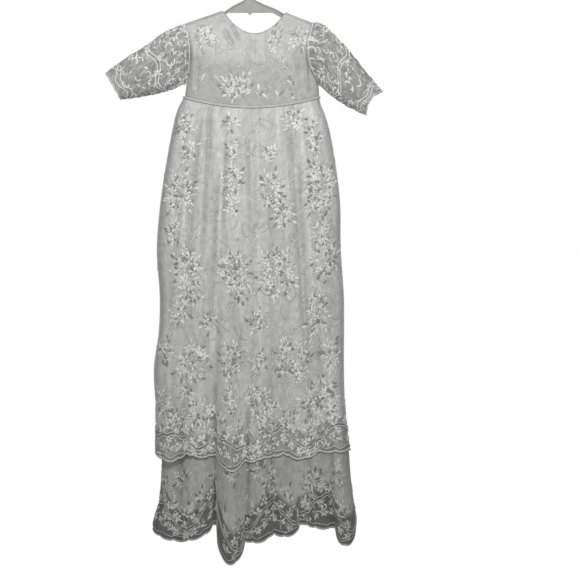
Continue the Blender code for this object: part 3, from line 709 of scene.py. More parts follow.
    # Meshes: each gives points, faces, texture coordinates and tones ----
    def leaf_mesh(self):
        """All the leaves at once: a row of three points at each station, with a raised middle."""
        data = np.array(self.leaves)
        u, v, angle, length, width, height, tone = (data[:, i, None, None] for i in range(7))
        stations = np.array(LEAF_STATIONS)
        p, w = stations[None, :, 0, None], stations[None, :, 1, None]
        q = np.array((-0.5, 0.0, 0.5))[None, None, :]
        along, aside = length * p, width * w * q
        wide, tall = (cell[:, None, None] for cell in self.cloth.cell(data[:, 0], data[:, 1]))
        x = along * np.sin(angle) + aside * np.cos(angle)
        y = along * np.cos(angle) - aside * np.sin(angle)
        rise = np.broadcast_to(np.where(q == 0, height * np.sqrt(w), 0) + EDGE_LIFT, x.shape)
        points = self.cloth.at(u + x / wide, v + y / tall, rise)
        base = (np.arange(len(data)) * len(stations) * 3)[:, None]
        corner = base + (np.arange(len(stations) - 1) * 3)[None, :]
        quads = [np.stack([corner + k, corner + k + 1, corner + k + 4, corner + k + 3], -1) for k in (0, 1)]
        uv = np.stack(np.broadcast_arrays(q * width * w + 0.5, along), -1).reshape(-1, 2)
        # The edge points take EDGE_SHADE: painted shade along each leaf's edges.
        tones = np.broadcast_to(tone * np.where(q == 0, 1.0, EDGE_SHADE), x.shape).reshape(-1)
        return points.reshape(-1, 3), np.concatenate([q4.reshape(-1, 4) for q4 in quads]), uv, tones

    def bead_mesh(self):
        """All the beads at once: a ring of points and a raised one in its middle."""
        data = np.array(self.beads)
        u, v, radius, tone = (data[:, i, None] for i in range(4))
        turn, count = np.arange(BEAD_SIDES) * AROUND / BEAD_SIDES, BEAD_SIDES + 1
        x = np.append(np.cos(turn), 0.0)[None, :] * radius
        y = np.append(np.sin(turn), 0.0)[None, :] * radius
        middle = np.append(np.zeros(BEAD_SIDES), 1.0)[None, :]
        wide, tall = (cell[:, None] for cell in self.cloth.cell(data[:, 0], data[:, 1]))
        points = self.cloth.at(u + x / wide, v + y / tall, middle * radius + EDGE_LIFT)
        cap = np.array([(i, (i + 1) % BEAD_SIDES, BEAD_SIDES) for i in range(BEAD_SIDES)])[None]
        faces = (np.arange(len(data)) * count)[:, None, None] + cap
        uv = np.stack([x, y], -1).reshape(-1, 2)
        # A bead's rim is darker than its raised middle: painted shade round the rim.
        return points.reshape(-1, 3), faces.reshape(-1, 3), uv, (tone * (0.3 + 0.7 * middle)).reshape(-1)

    def cord_mesh(self):
        """The cords: three points across each place of a path, with a raised middle."""
        points, quads, uv, tones, base = [], [], [], [], 0
        for path, width, height, tone in self.cords:
            n, (u, v) = len(path), path.T
            wide, tall = self.cloth.cell(u, v)
            dx, dy = np.gradient(u) * wide, np.gradient(v) * tall
            size = np.maximum(np.hypot(dx, dy), 1e-9)
            along = np.concatenate([[0], np.cumsum(np.hypot(dx, dy)[1:])])
            for offset, rise in ((-0.5, EDGE_LIFT), (0.0, height), (0.5, EDGE_LIFT)):
                lift = np.full(n, rise)
                lift[0] = lift[-1] = EDGE_LIFT
                aside = offset * width / size
                points.append(self.cloth.at(u - aside * dy / wide, v + aside * dx / tall, lift))
                uv.append(np.stack([np.full(n, offset * width), along], -1))
                # A cord's edges are half as light as its middle: painted shade along its edges.
                tones.append(np.full(n, tone * (1.0 if offset == 0 else 0.5)))
            for a in (base + np.arange(n - 1), base + n + np.arange(n - 1)):
                quads.append(np.stack([a, a + 1, a + n + 1, a + n], -1))
            base += 3 * n
        return np.concatenate(points), np.concatenate(quads), np.concatenate(uv), np.concatenate(tones)

    def build(self, name, look, slot):
        """One mesh of all the leaves, beads and cords."""
        makers = ((self.leaves, self.leaf_mesh), (self.beads, self.bead_mesh), (self.cords, self.cord_mesh))
        parts = [make() for held, make in makers if held]
        starts = np.cumsum([0] + [len(part[0]) for part in parts])
        faces = [face for part, start in zip(parts, starts) for face in (part[1] + start).tolist()]
        points, uv, tones = (np.concatenate([part[i] for part in parts]) for i in (0, 2, 3))
        return on_body(mesh_object(name, points, faces, look, uv, tones))


# ---- materials
def node_material(name, colour, roughness, sheen=0.0, alpha=1.0):
    """A node material and the parts that the finish is built from."""
    made = bpy.data.materials.new(name)
    made.use_nodes = True
    tree = made.node_tree
    shader = tree.nodes["Principled BSDF"]
    shader.inputs["Base Color"].default_value = (*colour, 1)
    shader.inputs["Roughness"].default_value = roughness
    shader.inputs["Sheen Weight"].default_value = sheen
    shader.inputs["Sheen Roughness"].default_value = 0.4
    shader.inputs["Alpha"].default_value = alpha
    return made, tree, shader


def add(tree, kind, **values):
    """A node with its properties, or its inputs, set by name."""
    node = tree.nodes.new(kind)
    for key, value in values.items():
        name = key.replace("_", " ").title()
        if name in node.inputs:
            node.inputs[name].default_value = value
        else:
            setattr(node, key, value)
    return node


def texture(tree, kind, space, stretch=None, **values):
    """A texture node on UV or Object coordinates, which may be stretched along each axis."""
    vector = add(tree, "ShaderNodeTexCoord").outputs[space]
    if stretch:
        mapping = add(tree, "ShaderNodeMapping", Scale=stretch)
        tree.links.new(vector, mapping.inputs["Vector"])
        vector = mapping.outputs["Vector"]
    node = add(tree, kind, **values)
    tree.links.new(vector, node.inputs["Vector"])
    return node.outputs


def ramp(tree, source, *stops):
    """A colour ramp of (place, colour) stops on a value."""
    node = tree.nodes.new("ShaderNodeValToRGB")
    tree.links.new(source, node.inputs["Fac"])
    while len(node.color_ramp.elements) < len(stops):
        node.color_ramp.elements.new(0.5)
    for element, (place, colour) in zip(node.color_ramp.elements, stops):
        element.position = place
        element.color = (*colour, 1)
    return node.outputs["Color"]


def multiply(tree, a, b):
    node = tree.nodes.new("ShaderNodeMix")
    node.data_type = "RGBA"
    node.blend_type = "MULTIPLY"
    node.inputs[0].default_value = 1.0
    tree.links.new(a, node.inputs[6])
    tree.links.new(b, node.inputs[7])
    return node.outputs[2]


def weave_bump(tree, shader, height, strength, distance):
    node = add(tree, "ShaderNodeBump", Strength=strength, Distance=distance)
    tree.links.new(height, node.inputs["Height"])
    tree.links.new(node.outputs["Normal"], shader.inputs["Normal"])


def grey(value, warm=0.0):
    """The gown's white, which leans slightly to cream."""
    return (value * (0.993 + warm), value, value * (0.968 - warm))


def even(value):
    """A neutral share, for multiplying a colour."""
    return (value, value, value)


def satin_look(name, value, roughness):
    """Plain satin: fine threads, and a faint unevenness from handling."""
    made, tree, shader = node_material(name, grey(value), roughness, sheen=0.2)
    threads = texture(tree, "ShaderNodeTexWave", "UV", Scale=900.0, Distortion=1.0)
    cloudy = texture(tree, "ShaderNodeTexNoise", "Object", Scale=90.0, Detail=4.0, Roughness=0.7)
    tint = ramp(tree, cloudy["Fac"], (0.36, grey(value * 0.84)), (0.64, grey(value * 1.08, 0.004)))
    tree.links.new(tint, shader.inputs["Base Color"])
    weave_bump(tree, shader, threads["Fac"], 0.15, 0.0002)
    return made


def net_look(name, value, alpha, speckle):
    """Fine net: a diamond mesh of threads with small flecks, partly worked stitches and partly painted
    glints, seen over what lies behind.
    """
    made, tree, shader = node_material(name, grey(value), 0.55, sheen=0.35, alpha=alpha)
    mesh = texture(tree, "ShaderNodeTexVoronoi", "UV", Scale=620.0)
    # The flecks and the broad mottling are stretched along the cloth's fall into streaks: partly random
    # unevenness, partly painted highlight for light off the folds behind the net.
    flecks = texture(
        tree, "ShaderNodeTexNoise", "UV", (1.0, 0.45, 1.0), Scale=150.0, Detail=3.0, Roughness=0.8)
    cloudy = texture(tree, "ShaderNodeTexNoise", "Object", (1.0, 1.0, 0.14), Scale=60.0, Detail=3.0)
    low, high = value * (1 - speckle), value * (1 + speckle)
    worked = ramp(tree, flecks["Fac"], (0.40, grey(low)), (0.56, grey(value)), (0.66, grey(high)))
    broad = ramp(tree, cloudy["Fac"], (0.36, even(0.84)), (0.64, even(1.0)))
    # The cloth's tone darkens the net's colour: it carries the tiers' painted shade and highlight.
    tone = add(tree, "ShaderNodeAttribute", attribute_name="tone")
    ground = ramp(tree, tone.outputs["Fac"], (0.0, even(0.0)), (1.0, even(1.0)))
    shade = multiply(tree, multiply(tree, worked, broad), ground)
    tree.links.new(shade, shader.inputs["Base Color"])
    weave_bump(tree, shader, mesh["Distance"], 0.35, 0.0004)
    return made


def thread_look(name, dark, light, roughness=0.34):
    """Silky thread: stitches lie across each leaf, with a lustre. Its tone runs from dark to light and
    carries painted shade at edges and under the work, and painted highlight and shade from leaf to leaf.
    """
    made, tree, shader = node_material(name, grey(light), roughness, sheen=0.4)
    stitches = texture(
        tree, "ShaderNodeTexWave", "UV", Scale=420.0, Distortion=1.5, bands_direction="Y")
    tone = add(tree, "ShaderNodeAttribute", attribute_name="tone").outputs["Fac"]
    middle = grey((dark + light) / 2)
    tint = ramp(tree, tone, (0.0, grey(dark)), (0.55, middle), (1.0, grey(light)))
    lines = ramp(tree, stitches["Fac"], (0.1, even(0.82)), (0.6, even(1.0)))
    tree.links.new(multiply(tree, tint, lines), shader.inputs["Base Color"])
    shader.inputs["Specular IOR Level"].default_value = 0.7
    weave_bump(tree, shader, stitches["Fac"], 0.4, 0.0003)
    return made


def pearl_look(name):
    made, tree, shader = node_material(name, grey(0.72), 0.2)
    cloudy = texture(tree, "ShaderNodeTexNoise", "Object", Scale=300.0, Detail=2.0)
    tint = ramp(tree, cloudy["Fac"], (0.3, grey(0.66)), (0.7, grey(0.8, 0.01)))
    tree.links.new(tint, shader.inputs["Base Color"])
    shader.inputs["Coat Weight"].default_value = 0.6
    return made


def plastic_look(name, value):
    """Moulded plastic, with faint flow marks."""
    made, tree, shader = node_material(name, grey(value), 0.32)
    marks = texture(tree, "ShaderNodeTexNoise", "Object", Scale=60.0, Detail=4.0)["Fac"]
    tint = ramp(tree, marks, (0.3, grey(value * 0.94)), (0.7, grey(value * 1.04)))
    tree.links.new(tint, shader.inputs["Base Color"])
    rough = ramp(tree, marks, (0.3, grey(0.28)), (0.7, grey(0.38)))
    tree.links.new(rough, shader.inputs["Roughness"])
    weave_bump(tree, shader, marks, 0.06, 0.0005)
    return made


SATIN = satin_look("satin", 0.392, 0.42)
LINING = satin_look("lining_satin", 0.74, 0.55)
# The lower tier's net and thread and the sleeves' net are darker copies of the same white as the rest:
# painted shade.
NET_UPPER = net_look("net_upper", 0.95, 0.48, 0.13)
NET_LOWER = net_look("net_lower", 0.49, 0.90, 0.17)
NET_SLEEVE = net_look("net_sleeve", 0.43, 0.74, 0.36)
THREAD = thread_look("thread", 0.16, 0.90)
THREAD_LOWER = thread_look("thread_lower", 0.08, 0.66)
THREAD_SLEEVE = thread_look("thread_sleeve", 0.12, 0.84)
THREAD_BODICE = thread_look("thread_bodice", 0.22, 0.80)
PEARL = pearl_look("pearl")
PLASTIC = plastic_look("grey_plastic", 0.305)

# ---- the cloth pieces
upper = skirt_cloth(hem_heights(UPPER_HEM, FRONT_HEM_UPPER, BACK_HEM_UPPER), SKIRT_ROWS, 0.0, False)
lower = skirt_cloth(hem_heights(LOWER_HEM, FRONT_HEM_LOWER, BACK_HEM_LOWER), SKIRT_ROWS, LAYER, True, 1.7)
lining = skirt_cloth(np.full(LINING_COLUMNS, LINING_FOOT), LINING_ROWS, LINING_INSET, True)
PANEL_GAP = 0.0014  # half the gap between the back panels, as a share of the width
bodice = bodice_cloth(0.0, 1.0, 100, 76, -1, FRONT_LINES)
back_left = bodice_cloth(0.0, BACK_SPLIT - PANEL_GAP, 64, 80, 1, BACK_LINES)
back_right = bodice_cloth(BACK_SPLIT + PANEL_GAP, 1.0, 56, 80, 1, BACK_LINES)
left_sleeve = sleeve_cloth("left", TIP_LEFT, LEFT_SLEEVE, 0.0, 10)
right_sleeve = sleeve_cloth("right", TIP_RIGHT, RIGHT_SLEEVE, 0.0100, 8)

BORDER_WAVE, BORDER_PEAK = 0.105, 0.063  # the length of the borders' waves, and X where one peaks
LOWER_TURN = 1.4  # how far the lower border's waves lie from the upper one's, as an angle


def wave_phase(x, turn):
    return (x - BORDER_PEAK) / BORDER_WAVE * AROUND + turn


def border_painted_shade(cloth, deep, turn, shade):
    """How light the net is: darker above the hem, a painted shade for the dim inside of the skirt seen
    through the net.
    """
    height = np.linalg.norm(np.diff(cloth.points, axis=0), axis=2)
    height = np.concatenate([np.cumsum(height[::-1], axis=0)[::-1], np.zeros((1, height.shape[1]))])
    top = deep * (0.72 + 0.16 * np.cos(wave_phase(cloth.points[-1, :, 0], turn)))
    return 1 - (1 - shade) * (1 - ease(height - top[None, :], -0.012, 0.004))


def fold_painted_light(cloth):
    """Lighter on the creases' ridges and darker in their hollows: painted highlight and painted shade. Darker
    at the sides: painted shade.
    """
    shape = cloth.points.shape[:2]
    across, side = (np.broadcast_to(each, shape) for each in round_columns(shape[1]))
    x, drop = cloth.points[..., 0], waist_z(across) - cloth.points[..., 2]
    stands = creases_out(x, drop, side) + 0.6 * gathers_out(across, drop, side)
    # Painted shade towards the sides, and painted light on the creases: lighter on ridges, darker in hollows.
    side_shade = 1 - 0.26 * ease(np.abs(across), 0.90, 1.0)
    return side_shade * np.clip(0.86 + stands * 60.0, 0.66, 1.0)


# Each tier's tone is painted light: shade above its hem and at its sides, highlight on crease ridges and
# shade in their hollows.
upper_painted_light = border_painted_shade(upper, 0.080, 0.0, 0.62) * fold_painted_light(upper)
lower_painted_light = border_painted_shade(lower, 0.100, LOWER_TURN, 0.31) * fold_painted_light(lower)
upper_tier = cloth_object("upper_tier", upper, NET_UPPER, ["skirt_upper_tier"], upper_painted_light)
lower_tier = cloth_object("lower_tier", lower, NET_LOWER, ["skirt_lower_tier"], lower_painted_light)
lining_piece = cloth_object("lining", lining, LINING, ["skirt_lining"])
front_panel = cloth_object("front_panel", bodice, SATIN, ["bodice_front"])
back_panel_left = cloth_object("back_panel_left", back_left, SATIN, ["bodice_back_left"])
back_panel_right = cloth_object("back_panel_right", back_right, SATIN, ["bodice_back_right"])
sleeve_on_left = cloth_object("sleeve_on_left", left_sleeve, NET_SLEEVE, ["sleeve_left"])
sleeve_on_right = cloth_object("sleeve_on_right", right_sleeve, NET_SLEEVE, ["sleeve_right"])


# ---- where the embroidery lies
# Bunches of flowers: X and Z of the middle, the width and height, and how many sprigs as a share of nine.
Bunch = namedtuple("Bunch", "x z wide tall dense")
FRONT_BUNCHES = in_metres(Bunch, (
    (-123, -300, 32, 50, 0.8), (-112, -345, 24, 40, 0.7), (-129, -420, 52, 82, 1.3),
    (-33, -345, 18, 40, 0.6), (-33, -405, 34, 80, 1.1), (-33, -448, 20, 24, 0.5), (36, -350, 16, 34, 0.5),
    (38, -418, 38, 78, 1.1), (64, -462, 38, 40, 0.9), (82, -286, 34, 44, 0.9), (-33, -296, 16, 30, 0.4),
    (118, -315, 20, 70, 0.8), (132, -408, 56, 92, 1.9), (124, -440, 36, 50, 1.0), (133, -495, 32, 60, 0.9),
    (-143, -495, 22, 60, 0.6), (-117, -556, 58, 70, 1.3), (-108, -605, 36, 44, 0.8),
    (-21.5, -573, 40, 105, 1.3), (-48, -565, 22, 50, 0.6), (48, -567, 68, 98, 1.6),
    (140, -545, 48, 80, 1.2), (125, -643, 44, 88, 1.1), (-72, -659, 32, 40, 0.7), (16, -657, 32, 40, 0.7),
    (-129, -640, 40, 44, 0.8), (-106, -735, 68, 66, 1.5), (-33, -733, 44, 64, 1.2), (79, -733, 66, 74, 1.5),
    (17, -735, 26, 36, 0.6), (-156, -715, 20, 60, 0.6), (150, -720, 30, 60, 0.8), (138, -784, 34, 40, 0.9),
    (7, -792, 22, 28, 0.5), (-115, -792, 22, 30, 0.5), (-160, -812, 28, 64, 1.0), (-90, -830, 60, 36, 1.2),
    (-36, -808, 18, 60, 0.6), (24, -815, 48, 56, 1.2), (126, -806, 74, 60, 1.5),
))
BACK_BUNCHES = in_metres(Bunch, (
    (120, -305, 32, 54, 0.8), (90, -415, 50, 80, 1.2), (20, -350, 26, 60, 0.7), (4, -430, 44, 80, 1.1),
    (-82, -300, 34, 46, 0.8), (-78, -425, 50, 90, 1.2), (-135, -400, 34, 70, 0.9), (136, -550, 46, 80, 1.1),
    (60, -562, 60, 90, 1.4), (-20, -580, 42, 90, 1.1), (-110, -565, 56, 80, 1.2), (110, -650, 40, 50, 0.8),
    (15, -660, 34, 44, 0.7), (-68, -658, 34, 44, 0.7), (112, -738, 64, 70, 1.4), (28, -730, 46, 66, 1.1),
    (-50, -740, 60, 70, 1.3), (-130, -725, 40, 62, 1.0), (90, -815, 60, 50, 1.2), (0, -812, 50, 52, 1.1),
    (-95, -815, 64, 52, 1.2),
))
LOWER_BUNCHES = in_metres(Bunch, (
    (-125, -956, 30, 34, 0.7), (-30, -932, 40, 50, 1.3), (39, -945, 18, 40, 0.5), (12, -933, 30, 24, 0.4),
    (114, -952, 34, 36, 0.9), (164, -950, 20, 50, 0.6),
))
BODICE_BUNCHES = in_metres(Bunch, (
    (-30, -226, 42, 46, 0.9), (-84, -129, 30, 36, 0.7), (92, -134, 22, 36, 0.7), (48, -140, 34, 26, 0.6),
))

# Leafy sprigs on the bodice, and curling lines: X and Z of the foot, the direction, and how they grow.
Stitch = namedtuple("Stitch", "x z turn length leaf pairs")
BODICE_SPRIGS = in_metres(Stitch, (
    (-19, -248, 3.0, 45, 9.5, 3), (-28, -248, 3.5, 34, 9, 2), (-24, -246, 2.55, 36, 9, 2),
    (-40, -246, 3.3, 30, 8.5, 2), (-34, -246, 4.05, 24, 8, 1), (-8, -250, 3.05, 30, 9.5, 2),
    (-44, -238, 2.4, 20, 8, 1), (-11, -220, 2.7, 20, 8.5, 1), (16, -253, 3.1, 20, 11, 1),
    (33, -255, 3.35, 18, 10, 1), (50, -253, 2.95, 20, 11, 1), (66, -252, 2.1, 24, 8, 1),
    (-90.6, -219, 3.14, 9, 8, 1), (77.8, -224, 3.14, 9, 8, 1), (-86, -122, 0.6, 30, 8.5, 2),
    (-74, -118, 0.2, 34, 8.5, 2), (-82, -128, -0.5, 20, 7.5, 1), (24, -150, 2.0, 22, 9, 1),
    (34, -142, 2.3, 24, 9, 1), (46, -136, 0.4, 24, 7, 1), (56, -156, 0.3, 22, 7.5, 2),
    (92, -124, 0.1, 30, 8, 2), (86, -128, -0.5, 26, 8, 2), (98, -130, 0.7, 20, 7.5, 1),
    (64, -182, 3.6, 18, 7, 1), (-39, -130, 0.2, 16, 6, 1),
))
BACK_SPRIGS = in_metres(Stitch, (
    (50, -248, 3.0, 40, 9.5, 3), (62, -248, 3.6, 30, 9, 2), (42, -246, 2.5, 30, 9, 2),
    (-50, -248, 3.2, 38, 9.5, 3), (-60, -244, 2.6, 28, 9, 2), (-40, -248, 3.7, 26, 8.5, 2),
    (-15, -254, 3.1, 18, 10, 1), (85, -216, 3.14, 9, 8, 1), (-85, -216, 3.14, 9, 8, 1),
    (88, -122, 0.3, 30, 8.5, 2), (80, -126, -0.4, 26, 8, 2), (-88, -122, -0.3, 30, 8.5, 2),
    (-78, -126, 0.4, 26, 8, 2), (42, -165, 2.6, 22, 8, 1), (-42, -165, 3.6, 22, 8, 1),
))
Curl = namedtuple("Curl", "x z turn length bend")
BODICE_CURLS = in_metres(Curl, (
    (-98, -170, 1.3, 80, 1.1), (-93, -195, 1.9, 70, 1.3), (-56, -148, 0.4, 75, 1.5),
    (-30, -142, 0.9, 65, -1.2), (-62, -185, 1.2, 60, -1.6), (-10, -150, 0.3, 80, 1.2),
    (5, -205, 1.9, 70, 1.4), (18, -155, 0.7, 70, -1.4), (38, -162, 0.2, 75, 1.5), (56, -175, 1.4, 55, -1.2),
    (96, -160, 5.6, 75, 1.5), (93, -210, 4.9, 70, 1.3), (-74, -220, 1.1, 50, 1.2), (24, -230, 1.4, 70, 1.2),
    (-100, -240, 1.8, 60, 0.9), (65, -235, 1.5, 50, -1.0),
))

Flower = namedtuple("Flower", "x z radius")
BODICE_FLOWERS = in_metres(Flower, (
    (-90.6, -211, 6), (77.8, -216, 6), (-39, -135, 5), (50, -133, 6), (-86, -117, 6.5), (93, -120, 6.5),
    (-26, -233, 7), (66, -190, 5), (82, -247, 5),
))


def border_cords(work, u, wave, phase):
    """Double wavy cords and two bright cords along the hem, each pair with a flat black band between: painted
    shadow between the raised cords.
    """
    wave = wave + 0.0036 * np.abs(np.sin(phase * 2.0 + 0.8))
    edge = 0.0072 + 0.0034 * np.abs(np.sin(phase * 2.0))
    # The bands of tone 0.0 are painted shadow.
    for height, wide, thick, tone in (
            (wave, 0.0022, 0.0014, 0.85), (wave + 0.0056, 0.0022, 0.0014, 0.75),
            (wave + 0.0028, 0.0032, 0.0004, 0.0), (0.0016 + 0 * u, 0.0030, 0.0010, 0.75),
            (edge, 0.0022, 0.0010, 0.7), (edge - 0.0030, 0.0022, 0.0004, 0.0)):
        work.cord(np.stack([u, work.cloth.above_hem(u, height)], 1), wide, thick, tone)


# A border's roses: the smallest and largest radius of those between its cords, over them, and between rows.
ROSES_LOW, ROSES_OVER, ROSES_BETWEEN = (0.0070, 0.0092), (0.0082, 0.0108), (0.0065, 0.0088)
ROW_GAP, ROW_PITCH = 0.015, 0.0145  # from the low roses to the first row between, and from row to row
BORDER_LEAF, BORDER_LEAF_SLIM, LEAF_FLOOR = (0.0055, 0.0092), 0.48, 0.010
BORDER_SPRIGS, BORDER_SPRIG_LEAF = 2, (0.0075, 0.0105)


def border(work, deep, turn, spacing=0.0165):
    """The border above a hem: its cords, roses between them and over them, and leaves and sprigs."""
    cloth, dice = work.cloth, work.dice
    rows, columns = cloth.points.shape[:2]
    u = np.arange(0, columns + 0.01, 0.5)
    x = cloth.mix(cloth.points, u, np.full(len(u), rows - 1.01))[:, 0]
    phase = wave_phase(x, turn)
    wave = deep * 0.34 + deep * 0.21 * np.cos(phase)
    border_cords(work, u, wave, phase)
    along = np.concatenate([[0], np.cumsum(np.abs(np.diff(x)) + 1e-4)])

    def up_at(at, height):
        return float(cloth.above_hem(np.array([at]), height)[0])

    for i in range(int(along[-1] / spacing)):
        place = (i + dice.uniform(-0.15, 0.15)) * spacing
        at = float(np.interp(place, along, u))
        level = float(np.interp(at, u, wave))
        low = 0.5 * level + 0.0040
        work.rose(at, up_at(at, low), *ROSES_LOW)
        work.rose(at, up_at(at, level + 0.0160 + dice.uniform(-0.002, 0.004)), *ROSES_OVER)
        reach = spacing / float(cloth.cell(np.array(at), np.array(rows - 2.0))[0])
        for height in np.arange(low + ROW_GAP, level - 0.004, ROW_PITCH):
            beside = at + dice.uniform(-0.3, 0.3) * reach
            work.rose(beside, up_at(beside, height), *ROSES_BETWEEN)
        for height in 2 * (low, level * 0.75, level + 0.014, low, level + 0.028, level * 0.9):
            beside = at + dice.uniform(-0.5, 0.5) * reach
            height = max(height + dice.uniform(-0.007, 0.007), LEAF_FLOOR)
            work.loose_leaf(beside, up_at(beside, height), *BORDER_LEAF, BORDER_LEAF_SLIM)
        for _ in range(BORDER_SPRIGS):
            beside = at + dice.uniform(-0.5, 0.5) * reach
            top = up_at(beside, level + dice.uniform(0.022, 0.036))
            length, angle = deep * dice.uniform(0.16, 0.28), math.pi + dice.uniform(-0.7, 0.7)
            leaf = dice.uniform(*BORDER_SPRIG_LEAF)
            work.sprig(beside, top, angle, length, leaf, 2, dice.uniform(-0.6, 0.6))


def strew(work, bunches, side):
    for bunch in bunches:
        place = work.cloth.place(bunch.x, bunch.z, side)
        work.spray(*place, bunch.wide, bunch.tall, work.dice.uniform(0, 1), bunch.dense)


SCATTER_X, SCATTER_Z = (-0.150, 0.150), (-0.86, -0.29)
SMALL_LEAF, SMALL_LEAF_SLIM, SMALL_LEAF_HEIGHT = (0.0030, 0.0055), 0.5, 0.0007


def scatter(work, side, count):
    """Tendrils and dotted lines all over the upper tier, each with three small leaves."""
    dice = work.dice
    for k in range(count):
        x, z = dice.uniform(*SCATTER_X), dice.uniform(*SCATTER_Z)
        u, v = work.cloth.place(x, z, side)
        length, bend, angle = dice.uniform(0.018, 0.042), dice.uniform(-2.6, 2.6), dice.uniform(0, 6.28)
        if k % 2:
            work.tendril(u, v, angle, length, 2.2 * bend)
        else:
            u, v = work.vine(u, v, angle, length, bend)
        for _ in range(3):
            work.loose_leaf(u, v, *SMALL_LEAF, SMALL_LEAF_SLIM, SMALL_LEAF_HEIGHT)


PANEL_MARGIN = 0.006
TENDRIL_BEND, PANEL_LEAF = 1.8, 1.25  # shares of a curl's bend and of a sprig's leaf


def stitch_panel(work, sprigs, side):
    """Sprigs and curls on a bodice panel, where they fall well inside it."""
    xs = work.cloth.points[..., 0]
    low, high = xs.min() + PANEL_MARGIN, xs.max() - PANEL_MARGIN
    for s in sprigs:
        if low < s.x < high:
            place = work.cloth.place(s.x, s.z, side)
            bend = work.dice.uniform(-0.4, 0.4)
            work.sprig(*place, -side * s.turn, s.length, s.leaf * PANEL_LEAF, s.pairs, bend)
    for k, c in enumerate(BODICE_CURLS):
        if low < c.x < high:
            line, bend = (work.tendril, TENDRIL_BEND * c.bend) if k % 2 else (work.vine, c.bend)
            line(*work.cloth.place(c.x, c.z, side), c.turn, c.length, bend)


SLEEVE_ROWS, SLEEVE_PITCH = np.linspace(0.06, 0.95, 12), 0.0130
SCROLLS_UNDER, ROSES_UNDER = 0.46, 0.66  # a draw under the first gives a scroll, and under the second a rose
SLEEVE_CORD = (0.0026, 0.0014, 0.95)


def stitch_sleeve(work):
    """Scrolls, roses and crescents over a sleeve, and double wavy cords across it."""
    dice = work.dice
    rows, columns = work.cloth.points.shape[:2]
    u = np.arange(0, columns + 0.01, 1.0)
    turn = u / columns * AROUND
    for share, swing in ((0.56, 0.040), (0.90, 0.022)):
        for shift in (0.0, 0.040):
            v = (rows - 1) * (share + shift + swing * np.sin(4 * turn + share * 9))
            work.cord(np.stack([u, v], 1), *SLEEVE_CORD)
    work.cord(np.stack([u, np.full(len(u), rows - 1.6)], 1), 0.0026, 0.0010, 0.9)
    for row in SLEEVE_ROWS:
        girth = float(work.cloth.cell(np.arange(0.0, columns), np.full(columns, row * (rows - 1)))[0].sum())
        count = int(girth / SLEEVE_PITCH)
        for i in range(count):
            su = (i + 0.5 * (round(row * 20) % 2) + dice.uniform(-0.25, 0.25)) / count * columns
            sv = (row + dice.uniform(-0.03, 0.03)) * (rows - 1)
            kind = dice.uniform()
            if kind < SCROLLS_UNDER:
                sweep, radius = dice.uniform(2.2, 4.0), dice.uniform(0.0058, 0.0088)
                work.scroll(su, sv, radius, dice.uniform(0, 6.28), sweep, 0.0036)
            elif kind < ROSES_UNDER:
                work.rose(su, sv, 0.0050, 0.0075)
            else:
                for _ in range(3):
                    work.loose_leaf(su, sv, 0.0065, 0.0105, 0.45)


upper_work, border_work, back_work = Stitching(upper, 21), Stitching(upper, 22), Stitching(upper, 23)
strew(upper_work, FRONT_BUNCHES, -1)
scatter(upper_work, -1, 300)
border(border_work, 0.085, 0.0)
strew(back_work, BACK_BUNCHES, 1)
scatter(back_work, 1, 200)

lower_work = Stitching(lower, 31)
strew(lower_work, LOWER_BUNCHES, -1)
strew(lower_work, LOWER_BUNCHES, 1)
border(lower_work, 0.105, LOWER_TURN)

bodice_work = Stitching(bodice, 41, shadowed=True)
strew(bodice_work, BODICE_BUNCHES, -1)
stitch_panel(bodice_work, BODICE_SPRIGS, -1)
for at in BODICE_FLOWERS:
    bodice_work.flower(*bodice.place(at.x, at.z), at.radius, at.x * 40)
back_left_work, back_right_work = Stitching(back_left, 42, True), Stitching(back_right, 43, True)
stitch_panel(back_left_work, BACK_SPRIGS, 1)
stitch_panel(back_right_work, BACK_SPRIGS, 1)

left_work, right_work = Stitching(left_sleeve, 51), Stitching(right_sleeve, 52)
stitch_sleeve(left_work)
stitch_sleeve(right_work)

upper_stitches = upper_work.build("upper_embroidery_front", THREAD, "lace_upper")
back_stitches = back_work.build("upper_embroidery_back", THREAD, "lace_upper")
border_stitches = border_work.build("upper_border", THREAD, "lace_upper")
lower_stitches = lower_work.build("lower_border", THREAD_LOWER, "lace_lower")
bodice_stitches = bodice_work.build("bodice_embroidery", THREAD_BODICE, "satin")
back_left_stitches = back_left_work.build("back_left_embroidery", THREAD_BODICE, "satin")
back_right_stitches = back_right_work.build("back_right_embroidery", THREAD_BODICE, "satin")
left_stitches = left_work.build("left_sleeve_embroidery", THREAD_SLEEVE, "lace_sleeve")
right_stitches = right_work.build("right_sleeve_embroidery", THREAD_SLEEVE, "lace_sleeve")


# ---- the braid, placket, buttons, edges and hanger
def tube(name, path, radius, look, around=8, closed=False):
    """A round cord along a path."""
    ahead = np.roll(path, -1, axis=0) - np.roll(path, 1, axis=0) if closed else np.gradient(path, axis=0)
    ahead /= np.linalg.norm(ahead, axis=1, keepdims=True)
    first = np.cross(ahead, np.array((0.0, 0.0, 1.0)))
    first /= np.maximum(np.linalg.norm(first, axis=1, keepdims=True), 1e-9)
    second = np.cross(first, ahead)
    angle = np.linspace(0, AROUND, around, endpoint=False)
    c, s = np.cos(angle)[None, :, None], np.sin(angle)[None, :, None]
    points = (path[:, None] + radius * (c * first[:, None] + s * second[:, None])).reshape(-1, 3)
    n = len(path)
    faces = rings(n, around, closed)
    if not closed:
        faces.append(tuple(range(around)))
        faces.append(tuple(range((n - 1) * around, n * around))[::-1])
    length = np.concatenate([[0], np.cumsum(np.linalg.norm(np.diff(path, axis=0), axis=1))])
    uv = np.stack(np.broadcast_arrays(angle[None, :] * radius, length[:, None]), -1).reshape(-1, 2)
    return on_body(mesh_object(name, points, faces, look, uv, np.full(len(points), 0.9)))


